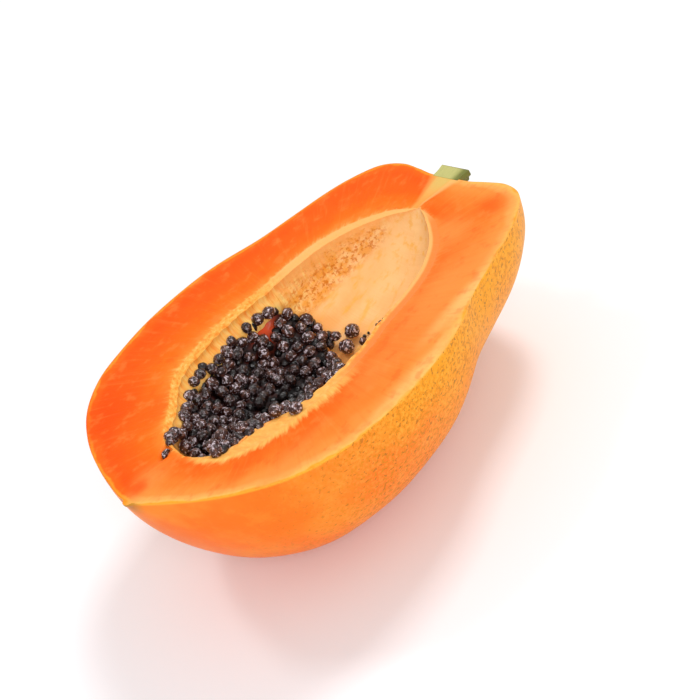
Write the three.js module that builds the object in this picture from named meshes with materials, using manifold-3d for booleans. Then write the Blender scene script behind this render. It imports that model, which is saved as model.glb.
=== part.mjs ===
// Half of a ripe papaya, cut lengthwise and lying on its rounded back, with
// its cut face up. Millimetres, +Z up, origin under the middle of its box.
//
// While it is built, X runs from the blossom tip at x = 0 to the stem, Y is
// across the cut face, and the cut face is the plane z = 0.

import * as THREE from "three";
import Module from "manifold-3d";
import { mergeVertices } from "three/addons/utils/BufferGeometryUtils.js";
import { ParametricGeometry } from "three/addons/geometries/ParametricGeometry.js";

// Fruit
const LENGTH = 200;
const HALF_WIDTH = 67;
const DEPTH_RATIO = 1.06;
const LOBES = 5;
const LOBE_HEIGHT = 0.01;
const PROFILE_STEPS = 34;
const AROUND_STEPS = 48;
const NIB_RADIUS = 2.3;
const REST_CUT = 0.9;
const REST_PITCH = 2.6;

// Outline of the cut face from the tip to the stem hollow, as shares of
// LENGTH and HALF_WIDTH
const OUTLINE = [
  [0, 0], [0.01, 0.11], [0.05, 0.365], [0.1, 0.595], [0.165, 0.79], [0.245, 0.92],
  [0.33, 0.975], [0.425, 1], [0.53, 0.98], [0.61, 0.93], [0.7, 0.83], [0.78, 0.77],
  [0.87, 0.705], [0.93, 0.635], [0.98, 0.535], [0.999, 0.4], [0.994, 0.26],
  [0.986, 0.14], [0.985, 0],
];

// Seed cavity, with a fibrous lip that slopes in from the cut face
const CAVITY_START = 27;
const CAVITY_END = 176.5;
const CAVITY_HALF_WIDTH = 36.3;
const CAVITY_STEPS = 26;
const CAVITY_AROUND_STEPS = 40;
const LIP_DEPTH = 2.4;
const FAR_LIP_WIDTH = 4;
const NEAR_LIP_WIDTH = 5.5;
const NEAR_LIP_LEDGE = 5;
const LEDGE_AT = 49;
const LEDGE_SPREAD = 10;
const LIP_SHARE = 0.45;

// The cavity lies nearer one side at its tip end, and a narrow slit goes on
// from it towards the tip
const TIP_SHIFT = -4.5;
const SLIT_AT = [29.5, 5.6];
const SLIT_SIZE = [8.5, 1.9, 2.2];
const SLIT_TURN = 18;

// Outline of the cavity, as shares of its length and CAVITY_HALF_WIDTH
const CAVITY_OUTLINE = [
  [0, 0], [0.01, 0.22], [0.027, 0.4], [0.067, 0.56], [0.12, 0.69], [0.194, 0.85],
  [0.26, 0.94], [0.355, 0.99], [0.435, 1], [0.515, 0.975], [0.58, 0.93], [0.695, 0.895],
  [0.776, 0.84], [0.836, 0.75], [0.89, 0.63], [0.936, 0.47], [0.973, 0.29], [1, 0],
];

// Stem stub in the hollow at the stem end, a little to the far side
const STUB_MIDDLE = 1.5;
const STUB_RADIUS = 6.3;
const STUB_END_RADIUS = 6.9;
const STUB_START = 197.7;
const STUB_END = 203.4;
const STUB_SIDES = 24;

// Seeds. The heap lines the cavity wall; its thickness is measured from the
// wall to the middles of the seeds.
const SEED_RADIUS = 2.95;
const SEED_ROW_STEP = 6;
const SEED_STEP = 6.5;
const SEED_JITTER = 0.6;
const SEED_SHAPE = [1.12, 1, 0.92];
const HEAP_START = 36;
const HEAP_END = 125;
const HEAP_TAPER = 14;
const HEAP_THICKNESS = 3.1;
const HEAP_SINK = 1.4;
const CORE_STEPS = 14;
const CORE_AROUND_STEPS = 10;

// Angles at which the heap ends on the far and the near side, and those it
// draws in to over a stretch of x
const HEAP_FAR = { angle: 9, drawnIn: 49, from: 108, to: 126 };
const HEAP_NEAR = { angle: 177, drawnIn: 69, from: 86, to: 120 };

// Low mound on the near side, thicker seeds on the floor and a pit in the far
// wall: heights and the angles between which they rise and fall
const MOUND = { height: 5, angles: [75, 110, 150, 176], from: 40, to: 60 };
const FLOOR = { height: 3.5, angles: [18, 40, 60, 85] };
const PIT = { depth: 1.2, x: 98, spread: 13, angle: 46, angleSpread: 15 };

// Seeds that have slipped out of the heap: x, y and radius of those in the
// slit and on the lip
const SLIT_SEEDS = [[25, 3.9, 1.2], [28, 5, 1.5], [31, 6.3, 1.8], [34, 7.8, 2.2]];
const LIP_SEEDS = [[35, -12.5, 2.8], [32, -16, 2.8]];
const LIP_SEED_Z = 0.6;

// Seeds that lie on the bare wall: x, angle, inset and radius
const LOOSE_SEEDS = [[128, 77, 3.3, 3.1], [120.4, 84, 3.3, 3], [126, 92.4, 2, 1.6]];

// Clear space between two pieces that touch
const GAP = 0.3;

const wasm = await Module();
wasm.setup();

// Closed solid of a geometry with its shared corners merged
function toSolid(geometry) {
  const bare = geometry.clone();
  bare.deleteAttribute("normal");
  bare.deleteAttribute("uv");
  const merged = mergeVertices(bare, 1e-3);
  const corners = Array.from(merged.index.array);
  const kept = [];
  for (let i = 0; i < corners.length; i += 3) {
    const [a, b, c] = corners.slice(i, i + 3);
    if (a !== b && b !== c && c !== a) kept.push(a, b, c);
  }
  return new wasm.Manifold(new wasm.Mesh({
    numProp: 3,
    vertProperties: new Float32Array(merged.attributes.position.array),
    triVerts: new Uint32Array(kept),
  }));
}

// Geometry of a solid
function toGeometry(solid) {
  const mesh = solid.getMesh();
  const geometry = new THREE.BufferGeometry();
  geometry.setAttribute("position", new THREE.BufferAttribute(mesh.vertProperties, 3));
  geometry.setIndex(new THREE.BufferAttribute(mesh.triVerts, 1));
  geometry.computeVertexNormals();
  return geometry;
}

// Box given by its lowest and highest corners
function boxSolid(low, high) {
  const size = high.map((value, axis) => value - low[axis]);
  const box = new THREE.BoxGeometry(...size);
  box.translate(...high.map((value, axis) => (value + low[axis]) / 2));
  return toSolid(box);
}

// Curve through [x, radius] pairs
function profileCurve(pairs) {
  return new THREE.SplineCurve(pairs.map(([x, radius]) => new THREE.Vector2(radius, x)));
}

// Solid turned about the X axis from [radius, x] points, stretched in depth
function turned(points, sides, depthRatio) {
  const closed = points.map((p) => new THREE.Vector2(Math.max(p.x, 0), p.y));
  closed[0].x = 0;
  closed[closed.length - 1].x = 0;
  const lathe = new THREE.LatheGeometry(closed, sides);
  lathe.rotateX(Math.PI / 2);
  lathe.rotateY(Math.PI / 2);
  lathe.scale(1, 1, depthRatio);
  return lathe;
}

// Presses shallow lengthwise lobes into a turned geometry
function lobed(geometry, height) {
  const place = geometry.attributes.position;
  for (let i = 0; i < place.count; i += 1) {
    const angle = Math.atan2(-place.getZ(i), place.getY(i));
    const scale = 1 + height * Math.cos(LOBES * angle);
    place.setY(i, place.getY(i) * scale);
    place.setZ(i, place.getZ(i) * scale);
  }
  return geometry;
}

// Outer form of the whole fruit, with the nib at its blossom tip
function wholeFruit() {
  const curve = profileCurve(OUTLINE.map(([x, w]) => [x * LENGTH, w * HALF_WIDTH]));
  const skin = turned(curve.getSpacedPoints(PROFILE_STEPS), AROUND_STEPS, DEPTH_RATIO);
  const nib = new THREE.SphereGeometry(NIB_RADIUS, 10, 8);
  nib.translate(NIB_RADIUS / 3, 0, 0);
  return toSolid(lobed(skin, LOBE_HEIGHT)).add(toSolid(nib));
}

// Seeded draw from 0 to 1
function draw(seed) {
  const value = Math.sin(seed * 12.9898) * 43758.5453;
  return value - Math.floor(value);
}

// Rises smoothly from 0 to 1 as value goes from low to high
function rise(value, low, high) {
  return THREE.MathUtils.smoothstep(value, low, high);
}

// Bell of height 1 at middle
function bell(value, middle, spread) {
  return Math.exp(-(((value - middle) / spread) ** 2));
}

const mouthCurve = profileCurve(CAVITY_OUTLINE.map(([x, w]) => [
  CAVITY_START + x * (CAVITY_END - CAVITY_START),
  w * CAVITY_HALF_WIDTH,
]));
const mouthPoints = mouthCurve.getSpacedPoints(CAVITY_STEPS);

// Half width of the cavity's mouth at x
function mouthHalfWidth(x) {
  const next = mouthPoints.findIndex((p) => p.y >= x);
  if (next <= 0) return 0;
  const [a, b] = [mouthPoints[next - 1], mouthPoints[next]];
  return a.x + ((b.x - a.x) * (x - a.y)) / (b.y - a.y);
}

// Y of the middle of the cavity's mouth at x
function mouthMiddle(x) {
  return TIP_SHIFT * (1 - rise(x, 42, 64));
}

// Widths of the lip on the far and the near side at x
function lipWidths(x) {
  const most = LIP_SHARE * mouthHalfWidth(x);
  const near = NEAR_LIP_WIDTH + NEAR_LIP_LEDGE * bell(x, LEDGE_AT, LEDGE_SPREAD);
  return [Math.min(FAR_LIP_WIDTH, most), Math.min(near, most)];
}

// Half width of the cavity below its lip at x
function wallHalfWidth(x) {
  const [far, near] = lipWidths(x);
  return mouthHalfWidth(x) - (far + near) / 2;
}

// Y of the middle of the cavity below its lip at x
function wallMiddle(x) {
  const [far, near] = lipWidths(x);
  return mouthMiddle(x) + (near - far) / 2;
}

// Point at x and angle round the cavity, from its far rim at 0 under to its
// near rim at 180 degrees, and at an inset from the wall
function wallPoint(x, degrees, inset) {
  const angle = THREE.MathUtils.degToRad(degrees);
  const radius = Math.max(wallHalfWidth(x) - inset, 0);
  return new THREE.Vector3(
    x,
    wallMiddle(x) + radius * Math.cos(angle),
    -DEPTH_RATIO * radius * Math.sin(angle),
  );
}

// Moves each ring of a turned geometry sideways to its own middle
function swayed(geometry, middle) {
  const place = geometry.attributes.position;
  for (let i = 0; i < place.count; i += 1) {
    place.setY(i, place.getY(i) + middle(place.getX(i)));
  }
  return geometry;
}

// Narrow end of the cavity
function slit(inset) {
  const lens = new THREE.SphereGeometry(1, 16, 8);
  lens.scale(...SLIT_SIZE.map((size) => size - inset));
  lens.rotateZ(THREE.MathUtils.degToRad(SLIT_TURN));
  lens.translate(...SLIT_AT, 0);
  return toSolid(lens);
}

// What is cut out for the seed cavity, smaller by an inset all round
function cavity(inset) {
  const lipPoints = mouthPoints.map((p) => new THREE.Vector2(p.x - inset, p.y));
  const lipDepthRatio = (LIP_DEPTH - inset) / (CAVITY_HALF_WIDTH - inset);
  const lip = turned(lipPoints, CAVITY_AROUND_STEPS, lipDepthRatio);
  const wallPoints = mouthPoints.map((p) => new THREE.Vector2(wallHalfWidth(p.y) - inset, p.y));
  const wall = turned(wallPoints, CAVITY_AROUND_STEPS, DEPTH_RATIO);
  return toSolid(swayed(lip, mouthMiddle))
    .add(toSolid(swayed(wall, wallMiddle)))
    .add(slit(inset));
}

// Skin and flesh, grown as one piece, cut in half, hollow where the seeds lie
// and flat where it rests
function papayaHalf() {
  const far = 2 * LENGTH;
  const upperHalf = boxSolid([-far, -far, 0], [far, far, far]);
  const half = wholeFruit().subtract(upperHalf).subtract(cavity(0));
  const lying = half.rotate([0, REST_PITCH, 0]);
  const flat = lying.boundingBox().min[2] + REST_CUT;
  const under = boxSolid([-far, -far, -far], [far, far, flat]);
  return lying.subtract(under).rotate([0, -REST_PITCH, 0]);
}

// Half of the cut stem that is left in its hollow
function stemStub() {
  const stub = turned([
    new THREE.Vector2(0, STUB_START),
    new THREE.Vector2(STUB_RADIUS, STUB_START),
    new THREE.Vector2(STUB_RADIUS, (STUB_START + STUB_END) / 2),
    new THREE.Vector2(STUB_END_RADIUS, STUB_END),
    new THREE.Vector2(0, STUB_END),
  ], STUB_SIDES, 1);
  stub.translate(0, STUB_MIDDLE, 0);
  const far = 2 * LENGTH;
  return toSolid(stub).subtract(boxSolid([-far, -far, 0], [far, far, far]));
}

// Angles between which seeds cover the wall at x
function heapAngles(x) {
  return [HEAP_FAR, HEAP_NEAR].map((end) => (
    THREE.MathUtils.lerp(end.angle, end.drawnIn, rise(x, end.from, end.to))
  ));
}

// Rises from 0 to 1 and falls again between four angles
function plateau(degrees, [low, full, last, high]) {
  return rise(degrees, low, full) * (1 - rise(degrees, last, high));
}

// Depth of seeds over the wall: a low mound on the near side, a pit in the
// middle of the far wall
function heapThickness(x, degrees) {
  const mound = MOUND.height * plateau(degrees, MOUND.angles) * rise(x, MOUND.from, MOUND.to);
  const pit = bell(x, PIT.x, PIT.spread) * bell(degrees, PIT.angle, PIT.angleSpread);
  const floor = FLOOR.height * plateau(degrees, FLOOR.angles);
  const start = rise(x, HEAP_START, HEAP_START + HEAP_TAPER);
  const end = 1 - rise(x, HEAP_END - HEAP_TAPER, HEAP_END);
  return HEAP_THICKNESS + start * end * (mound + floor * (1 - pit) - PIT.depth * pit);
}

// Places of the seeds in the heap, in staggered rows across the cavity, each
// row evenly spread from its near rim round to its far one
function heapPlaces() {
  const places = [];
  for (let row = 0; HEAP_START + row * SEED_ROW_STEP < HEAP_END - 3; row += 1) {
    const rowX = HEAP_START + row * SEED_ROW_STEP;
    const [far, near] = heapAngles(rowX);
    const radius = wallHalfWidth(rowX) - HEAP_THICKNESS - 1;
    const steps = Math.round((THREE.MathUtils.degToRad(near - far) * radius) / SEED_STEP);
    for (let i = (row % 2) / 2; i <= steps; i += 1) {
      const seed = places.length + 1;
      const x = rowX + (draw(seed) - 0.5) * 2 * SEED_JITTER;
      const degrees = near - ((near - far) * i) / steps + (draw(seed + 900) - 0.5) * 2;
      const sink = (draw(seed + 500) - 0.5) * SEED_JITTER;
      places.push(wallPoint(x, degrees, heapThickness(x, degrees) + sink));
    }
  }
  return places;
}

// One seed about a place, turned its own way
function seedSolid(place, radius, seed) {
  const shape = new THREE.IcosahedronGeometry(radius, 0);
  shape.scale(...SEED_SHAPE);
  shape.rotateX(Math.PI * draw(seed + 40));
  shape.rotateZ(2 * Math.PI * draw(seed + 80));
  shape.translate(place.x, place.y, place.z);
  return toSolid(shape);
}

// Wet tissue that the seeds of the heap stand out of: at each x a ring of
// points goes round along the cavity wall and comes back nearer the middle
function heapCore() {
  const ringPoints = 2 * (CORE_AROUND_STEPS + 1);
  const surface = new ParametricGeometry((u, v, target) => {
    const x = HEAP_START - 4 + u * (HEAP_END - HEAP_START + 2);
    const [far, near] = heapAngles(x);
    const step = Math.round(v * ringPoints) % ringPoints;
    const onWall = step <= CORE_AROUND_STEPS;
    const along = (onWall ? step : ringPoints - 1 - step) / CORE_AROUND_STEPS;
    const degrees = far + along * (near - far);
    const thickness = Math.max(heapThickness(x, degrees) - HEAP_SINK, 2 * GAP);
    const isEnd = u === 0 || u === 1;
    if (isEnd) {
      target.copy(wallPoint(x, (far + near) / 2, GAP));
    } else {
      target.copy(wallPoint(x, degrees, onWall ? GAP : thickness));
    }
  }, CORE_STEPS, ringPoints);
  return toSolid(surface);
}

// Everything below the cut face but the cavity, grown by the gap
function outsideCavity() {
  const far = 2 * LENGTH;
  return boxSolid([-far, -far, -far], [far, far, GAP]).subtract(cavity(GAP));
}

// Heap of seeds along the cavity wall, joined as one body
function seedHeap() {
  const seeds = heapPlaces().map((place, i) => seedSolid(place, SEED_RADIUS, i));
  SLIT_SEEDS.forEach(([x, y, radius], i) => {
    seeds.push(seedSolid(new THREE.Vector3(x, y, 0), radius, i + 300));
  });
  LIP_SEEDS.forEach(([x, y, radius], i) => {
    seeds.push(seedSolid(new THREE.Vector3(x, y, LIP_SEED_Z), radius, i + 350));
  });
  const heap = seeds.reduce((whole, seed) => whole.add(seed), heapCore());
  const pieces = heap.subtract(outsideCavity()).decompose();
  return pieces.reduce((a, b) => (a.volume() > b.volume() ? a : b));
}

// Seed that has come away from the heap
function looseSeed([x, degrees, inset, radius], i) {
  const place = wallPoint(x, degrees, inset);
  return seedSolid(place, radius, i + 400).subtract(outsideCavity());
}

const FLESH = new THREE.MeshStandardMaterial({ color: 0xfd7a1d, roughness: 0.45 });
const STEM = new THREE.MeshStandardMaterial({ color: 0xb9b465, roughness: 0.75 });
const SEED = new THREE.MeshStandardMaterial({ color: 0x3a1e18, roughness: 0.3 });

// Node of a solid, in its own place
function node(name, solid, material) {
  const mesh = new THREE.Mesh(toGeometry(solid), material);
  mesh.name = name;
  return mesh;
}

const papaya = new THREE.Group();
papaya.add(node("papaya_half", papayaHalf(), FLESH));
papaya.add(node("stem_stub", stemStub(), STEM));
papaya.add(node("seeds", seedHeap(), SEED));
LOOSE_SEEDS.forEach((seed, i) => {
  papaya.add(node(`seed_loose_${i + 1}`, looseSeed(seed, i), SEED));
});

// It lies pitched on its flat, which comes to z = 0, midway along its box
papaya.rotation.y = THREE.MathUtils.degToRad(REST_PITCH);
const bounds = new THREE.Box3().setFromObject(papaya, true);
const centre = bounds.getCenter(new THREE.Vector3());
papaya.position.set(-centre.x, -centre.y, -bounds.min.z);

export default papaya;
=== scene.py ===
"""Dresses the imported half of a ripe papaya: skin, cut flesh, seed cavity, seeds and stem.

The fruit is worked out in its own axes, in millimetres: X runs from the blossom tip to the
stem, Y goes across the cut face, and the cut face is the plane z = 0. FruitForm.to_row turns
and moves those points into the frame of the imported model, in metres.
"""

import logging
import math
import random
from dataclasses import dataclass
from enum import Enum
from functools import cached_property
from typing import NamedTuple

import bpy
import numpy as np
from mathutils import Matrix, Vector, noise


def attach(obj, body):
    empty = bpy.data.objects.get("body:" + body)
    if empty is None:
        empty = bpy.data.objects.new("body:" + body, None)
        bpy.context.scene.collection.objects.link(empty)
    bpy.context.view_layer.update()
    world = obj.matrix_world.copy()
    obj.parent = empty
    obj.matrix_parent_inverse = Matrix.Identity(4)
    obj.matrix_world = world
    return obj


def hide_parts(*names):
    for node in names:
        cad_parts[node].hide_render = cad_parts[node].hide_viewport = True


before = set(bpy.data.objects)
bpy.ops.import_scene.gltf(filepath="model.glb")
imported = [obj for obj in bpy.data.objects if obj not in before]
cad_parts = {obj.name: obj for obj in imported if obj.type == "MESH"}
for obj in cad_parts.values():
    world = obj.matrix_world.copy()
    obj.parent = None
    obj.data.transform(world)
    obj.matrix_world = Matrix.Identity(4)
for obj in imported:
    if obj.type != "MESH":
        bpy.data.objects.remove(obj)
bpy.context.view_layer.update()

log = logging.getLogger("papaya")

MM = 0.001
TINY = 1e-6
ROOT = "root"
CURVE_SAMPLES = 32

# Sizes of a noise's lumps along three axes
Lumps = tuple[float, float, float]
# Where a value starts to count and where it counts in full
Span = tuple[float, float]
# Where a value starts to count, counts in full, counts in full no longer, and doesn't count
Stretch = tuple[float, float, float, float]


class Slot(Enum):
    """Material slots of the record."""

    FLESH = "flesh"
    STEM = "stem"
    SEED = "seed"


# Small helpers for meshes


def deselect_all() -> None:
    """Leaves nothing selected, so that an operator acts on its own piece alone."""
    bpy.ops.object.select_all(action="DESELECT")


def make_active(obj: bpy.types.Object) -> None:
    """Selects one object alone and makes it the active one.

    Args:
        obj: The object.
    """
    deselect_all()
    obj.select_set(True)
    bpy.context.view_layer.objects.active = obj


def places(obj: bpy.types.Object) -> np.ndarray:
    """Reads the places of an object's vertices.

    Args:
        obj: A mesh object.

    Returns:
        One row of x, y and z for each vertex.
    """
    flat = np.zeros(len(obj.data.vertices) * 3)
    obj.data.vertices.foreach_get("co", flat)
    return flat.reshape(-1, 3)


def set_places(obj: bpy.types.Object, points: np.ndarray) -> None:
    """Moves an object's vertices.

    Args:
        obj: A mesh object.
        points: One row of x, y and z for each vertex.
    """
    obj.data.vertices.foreach_set("co", points.astype(np.float32).ravel())
    obj.data.update()


def store(obj: bpy.types.Object, name: str, values: np.ndarray) -> None:
    """Keeps a number or a vector at each vertex, under a name that materials can read.

    Args:
        obj: A mesh object.
        name: Name of the attribute.
        values: One value, or one row of three, for each vertex.
    """
    is_vector = values.ndim == 2
    found = obj.data.attributes.get(name)
    if found is None:
        found = obj.data.attributes.new(name, "FLOAT_VECTOR" if is_vector else "FLOAT", "POINT")
    found.data.foreach_set("vector" if is_vector else "value", values.astype(np.float32).ravel())


def stored(obj: bpy.types.Object, name: str) -> np.ndarray:
    """Reads the numbers kept under a name.

    Args:
        obj: A mesh object.
        name: Name of the attribute.

    Returns:
        One value for each vertex.
    """
    values = np.zeros(len(obj.data.vertices))
    obj.data.attributes[name].data.foreach_get("value", values)
    return values


def selected_vertices(obj: bpy.types.Object) -> np.ndarray:
    """Finds which vertices are selected.

    Args:
        obj: A mesh object, in object mode.

    Returns:
        One truth value for each vertex.
    """
    chosen = np.zeros(len(obj.data.vertices), bool)
    obj.data.vertices.foreach_get("select", chosen)
    return chosen


def joined(pieces: list[bpy.types.Object], name: str) -> bpy.types.Object:
    """Joins several meshes into one object.

    Args:
        pieces: Mesh objects, of which the first keeps its place in the scene.
        name: Name of the joined object.

    Returns:
        The joined object.
    """
    make_active(pieces[0])
    for piece in pieces:
        piece.select_set(True)
    bpy.ops.object.join()
    pieces[0].name = name
    return pieces[0]


def rise(value: np.ndarray | float, low: float, high: float) -> np.ndarray | float:
    """Rises smoothly from 0 to 1 as a value goes from low to high."""
    share = np.clip((value - low) / (high - low), 0, 1)
    return share * share * (3 - 2 * share)


def plateau(
    value: np.ndarray | float, start: float, full: float, still: float, end: float
) -> np.ndarray | float:
    """Rises from 0 at start to 1 at full, and falls from 1 at still to 0 at end."""
    return rise(value, start, full) * (1 - rise(value, still, end))


def bell(value: np.ndarray | float, middle: float, spread: float) -> np.ndarray | float:
    """Gives a bell curve of height 1 at the middle."""
    return np.exp(-(((value - middle) / spread) ** 2))


def rough(points: np.ndarray, step: Lumps, seed: float = 0.0) -> np.ndarray:
    """Gives smooth noise at points.

    Args:
        points: Rows of x, y and z.
        step: Size of the noise's lumps along each axis, in the units of the points.
        seed: Moves the noise to another place.

    Returns:
        One value from about -1 to 1 for each point.
    """
    scaled = points / np.array(step) + seed
    return np.array([noise.noise(Vector(p)) for p in scaled])


def even_curve(corners: tuple[tuple[float, float], ...], steps: int) -> np.ndarray:
    """Draws a smooth curve through corners and walks along it in even steps.

    Args:
        corners: The points that the curve goes through.
        steps: Number of steps along the curve.

    Returns:
        steps + 1 rows of two numbers.
    """
    points = np.array(corners, float)
    padded = np.vstack([points[:1], points, points[-1:]])
    share = np.linspace(0, 1, CURVE_SAMPLES, endpoint=False)[:, None]
    stretches = []
    for before, start, end, after in zip(padded, padded[1:], padded[2:], padded[3:]):
        leave, arrive = (end - before) / 2, (after - start) / 2
        cubic = (2 * start - 2 * end + leave + arrive) * share**3
        square = (3 * end - 3 * start - 2 * leave - arrive) * share**2
        stretches.append(cubic + square + leave * share + start)
    fine = np.vstack([*stretches, points[-1:]])
    run = np.concatenate([[0], np.cumsum(np.linalg.norm(np.diff(fine, axis=0), axis=1))])
    even = np.linspace(0, run[-1], steps + 1)
    return np.column_stack([np.interp(even, run, column) for column in fine.T])


def on_curve(curve: np.ndarray, along: np.ndarray) -> tuple[np.ndarray, np.ndarray]:
    """Reads both columns of a curve at shares of its length."""
    shares = np.linspace(0, 1, len(curve))
    return np.interp(along, shares, curve[:, 0]), np.interp(along, shares, curve[:, 1])


def half_ball(name: str, rings: int, sides: int) -> bpy.types.Object:
    """Makes the lower half of a ball with its poles on the X axis, cut open at z = 0.

    Args:
        name: Name of the object.
        rings: Number of steps from the pole at -X to the one at +X.
        sides: Number of steps round the whole ball, a multiple of four.

    Returns:
        The half ball. Attribute "along" runs from 0 at the -X pole to 1 at the +X pole, and
        "around" from 0 at the +Y rim to 1 at the -Y rim.
    """
    deselect_all()
    bpy.ops.mesh.primitive_uv_sphere_add(
        segments=sides, ring_count=rings, radius=1, rotation=(0, math.pi / 2, 0)
    )
    ball = bpy.context.object
    ball.name = name
    bpy.ops.object.transform_apply(location=False, rotation=True, scale=False)
    bpy.ops.object.mode_set(mode="EDIT")
    bpy.ops.mesh.select_all(action="SELECT")
    bpy.ops.mesh.bisect(plane_co=(0, 0, 0), plane_no=(0, 0, 1), clear_outer=True)
    bpy.ops.object.mode_set(mode="OBJECT")
    at = places(ball)
    store(ball, "along", 1 - np.arccos(np.clip(at[:, 0], -1, 1)) / math.pi)
    store(ball, "around", np.abs(np.arctan2(-at[:, 2], at[:, 1])) / math.pi)
    return ball


# Form of the fruit


@dataclass(frozen=True)
class FruitForm:
    """Outlines of the fruit and its cavity, which every piece is built on. Millimetres."""

    length: float = 200.0
    half_width: float = 67.0
    depth_ratio: float = 1.06
    lobes: int = 5
    lobe_height: float = 0.01
    nib_radius: float = 2.3
    pitch_degrees: float = 2.6
    row_place: tuple[float, float, float] = (-100.829, -0.670, 74.032)
    outline: tuple[tuple[float, float], ...] = (
        (0, 0), (0.01, 0.11), (0.05, 0.365), (0.1, 0.595), (0.165, 0.79), (0.245, 0.92),
        (0.33, 0.975), (0.425, 1), (0.53, 0.98), (0.61, 0.93), (0.7, 0.83), (0.78, 0.77),
        (0.87, 0.705), (0.93, 0.635), (0.98, 0.535), (0.999, 0.4), (0.994, 0.26),
        (0.986, 0.14), (0.985, 0),
    )
    cavity_start: float = 27.0
    cavity_end: float = 176.5
    cavity_half_width: float = 36.3
    cavity_outline: tuple[tuple[float, float], ...] = (
        (0, 0), (0.01, 0.22), (0.027, 0.4), (0.067, 0.56), (0.12, 0.69), (0.194, 0.85),
        (0.26, 0.94), (0.355, 0.99), (0.435, 1), (0.515, 0.975), (0.58, 0.93), (0.695, 0.895),
        (0.776, 0.84), (0.836, 0.75), (0.89, 0.63), (0.936, 0.47), (0.973, 0.29), (1, 0),
    )
    lip_depth: float = 2.4
    far_lip_width: float = 4.0
    near_lip_width: float = 5.5
    near_lip_ledge: float = 5.0
    ledge_at: float = 49.0
    ledge_spread: float = 10.0
    lip_share: float = 0.45
    tip_shift: float = -4.5
    tip_stretch: Span = (42.0, 64.0)
    fine_steps: int = 600

    @cached_property
    def skin_curve(self) -> np.ndarray:
        """Gives rows of x and half width along the outline of the cut face."""
        corners = tuple((x * self.length, w * self.half_width) for x, w in self.outline)
        return even_curve(corners, self.fine_steps)

    @cached_property
    def mouth_curve(self) -> np.ndarray:
        """Gives rows of x and half width along the mouth of the cavity."""
        span = self.cavity_end - self.cavity_start
        corners = tuple(
            (self.cavity_start + x * span, w * self.cavity_half_width)
            for x, w in self.cavity_outline
        )
        return even_curve(corners, self.fine_steps)

    def skin_at(self, along: np.ndarray) -> tuple[np.ndarray, np.ndarray]:
        """Gives x and half width of the skin at shares of its outline."""
        return on_curve(self.skin_curve, along)

    def mouth_at(self, along: np.ndarray) -> tuple[np.ndarray, np.ndarray]:
        """Gives x and half width of the cavity's mouth at shares of its outline."""
        return on_curve(self.mouth_curve, along)

    def mouth_half_width(self, x: np.ndarray | float) -> np.ndarray | float:
        """Gives the half width of the cavity's mouth at x."""
        curve = self.mouth_curve
        return np.interp(x, curve[:, 0], curve[:, 1], left=0, right=0)

    def mouth_middle(self, x: np.ndarray | float) -> np.ndarray | float:
        """Gives the Y of the middle of the cavity's mouth at x."""
        return self.tip_shift * (1 - rise(x, *self.tip_stretch))

    def lip_widths(self, x: np.ndarray | float) -> tuple[np.ndarray, np.ndarray]:
        """Gives the widths of the lip on the far and on the near side at x."""
        most = self.lip_share * self.mouth_half_width(x)
        ledge = self.near_lip_ledge * bell(x, self.ledge_at, self.ledge_spread)
        return np.minimum(self.far_lip_width, most), np.minimum(self.near_lip_width + ledge, most)

    def wall_section(self, x: np.ndarray | float) -> tuple[np.ndarray, np.ndarray]:
        """Gives the half width and the middle of the cavity below its lip at x."""
        far, near = self.lip_widths(x)
        return self.mouth_half_width(x) - (far + near) / 2, self.mouth_middle(x) + (near - far) / 2

    def lip_drop(self, half_width: np.ndarray, inset: np.ndarray) -> np.ndarray:
        """Gives how far the lip has dropped at an inset from the mouth.

        Args:
            half_width: Half width of the mouth there.
            inset: Distance in from the mouth.

        Returns:
            Depths below the cut face.
        """
        across = np.maximum(half_width**2 - (half_width - inset) ** 2, 0)
        return self.lip_depth / self.cavity_half_width * np.sqrt(across)

    def wall_points(self, x: np.ndarray, degrees: np.ndarray, inset: np.ndarray) -> np.ndarray:
        """Finds points on the cavity's wall or in front of it.

        Args:
            x: Places along the fruit.
            degrees: Angles from the far rim at 0 under to the near rim at 180.
            inset: Distances in from the wall.

        Returns:
            Rows of x, y and z.
        """
        half_width, middle = self.wall_section(x)
        radius = np.maximum(half_width - inset, 0)
        angle = np.radians(degrees)
        return np.column_stack([
            x, middle + radius * np.cos(angle), -self.depth_ratio * radius * np.sin(angle),
        ])

    def wall_point(self, x: float, degrees: float, inset: float) -> np.ndarray:
        """Finds one point in front of the cavity's wall."""
        return self.wall_points(np.array([x]), np.array([degrees]), np.array([inset]))[0]

    def turn(self) -> Matrix:
        """Gives the turn from the fruit's axes to the row frame."""
        return Matrix.Rotation(math.radians(self.pitch_degrees), 3, "Y")

    def to_row(self, points: np.ndarray) -> np.ndarray:
        """Turns and moves points in millimetres into the row frame, in metres."""
        return (points @ np.array(self.turn()).T + np.array(self.row_place)) * MM


# Materials


def linear(colour: str) -> tuple[float, float, float, float]:
    """Turns an sRGB hex colour to linear values.

    Args:
        colour: Six hex digits.

    Returns:
        Red, green, blue and an alpha of 1.
    """
    channels = [int(colour[i:i + 2], 16) / 255 for i in (0, 2, 4)]
    red, green, blue = (
        c / 12.92 if c <= 0.04045 else ((c + 0.055) / 1.055) ** 2.4 for c in channels
    )
    return red, green, blue, 1.0


# What an input takes: a number, a hex colour, a vector, a socket, or a node for its first output
Source = float | str | tuple | bpy.types.NodeSocket | bpy.types.Node
# A value, where it starts to count, and where it counts in full
Limit = tuple[Source, float, float]


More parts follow.
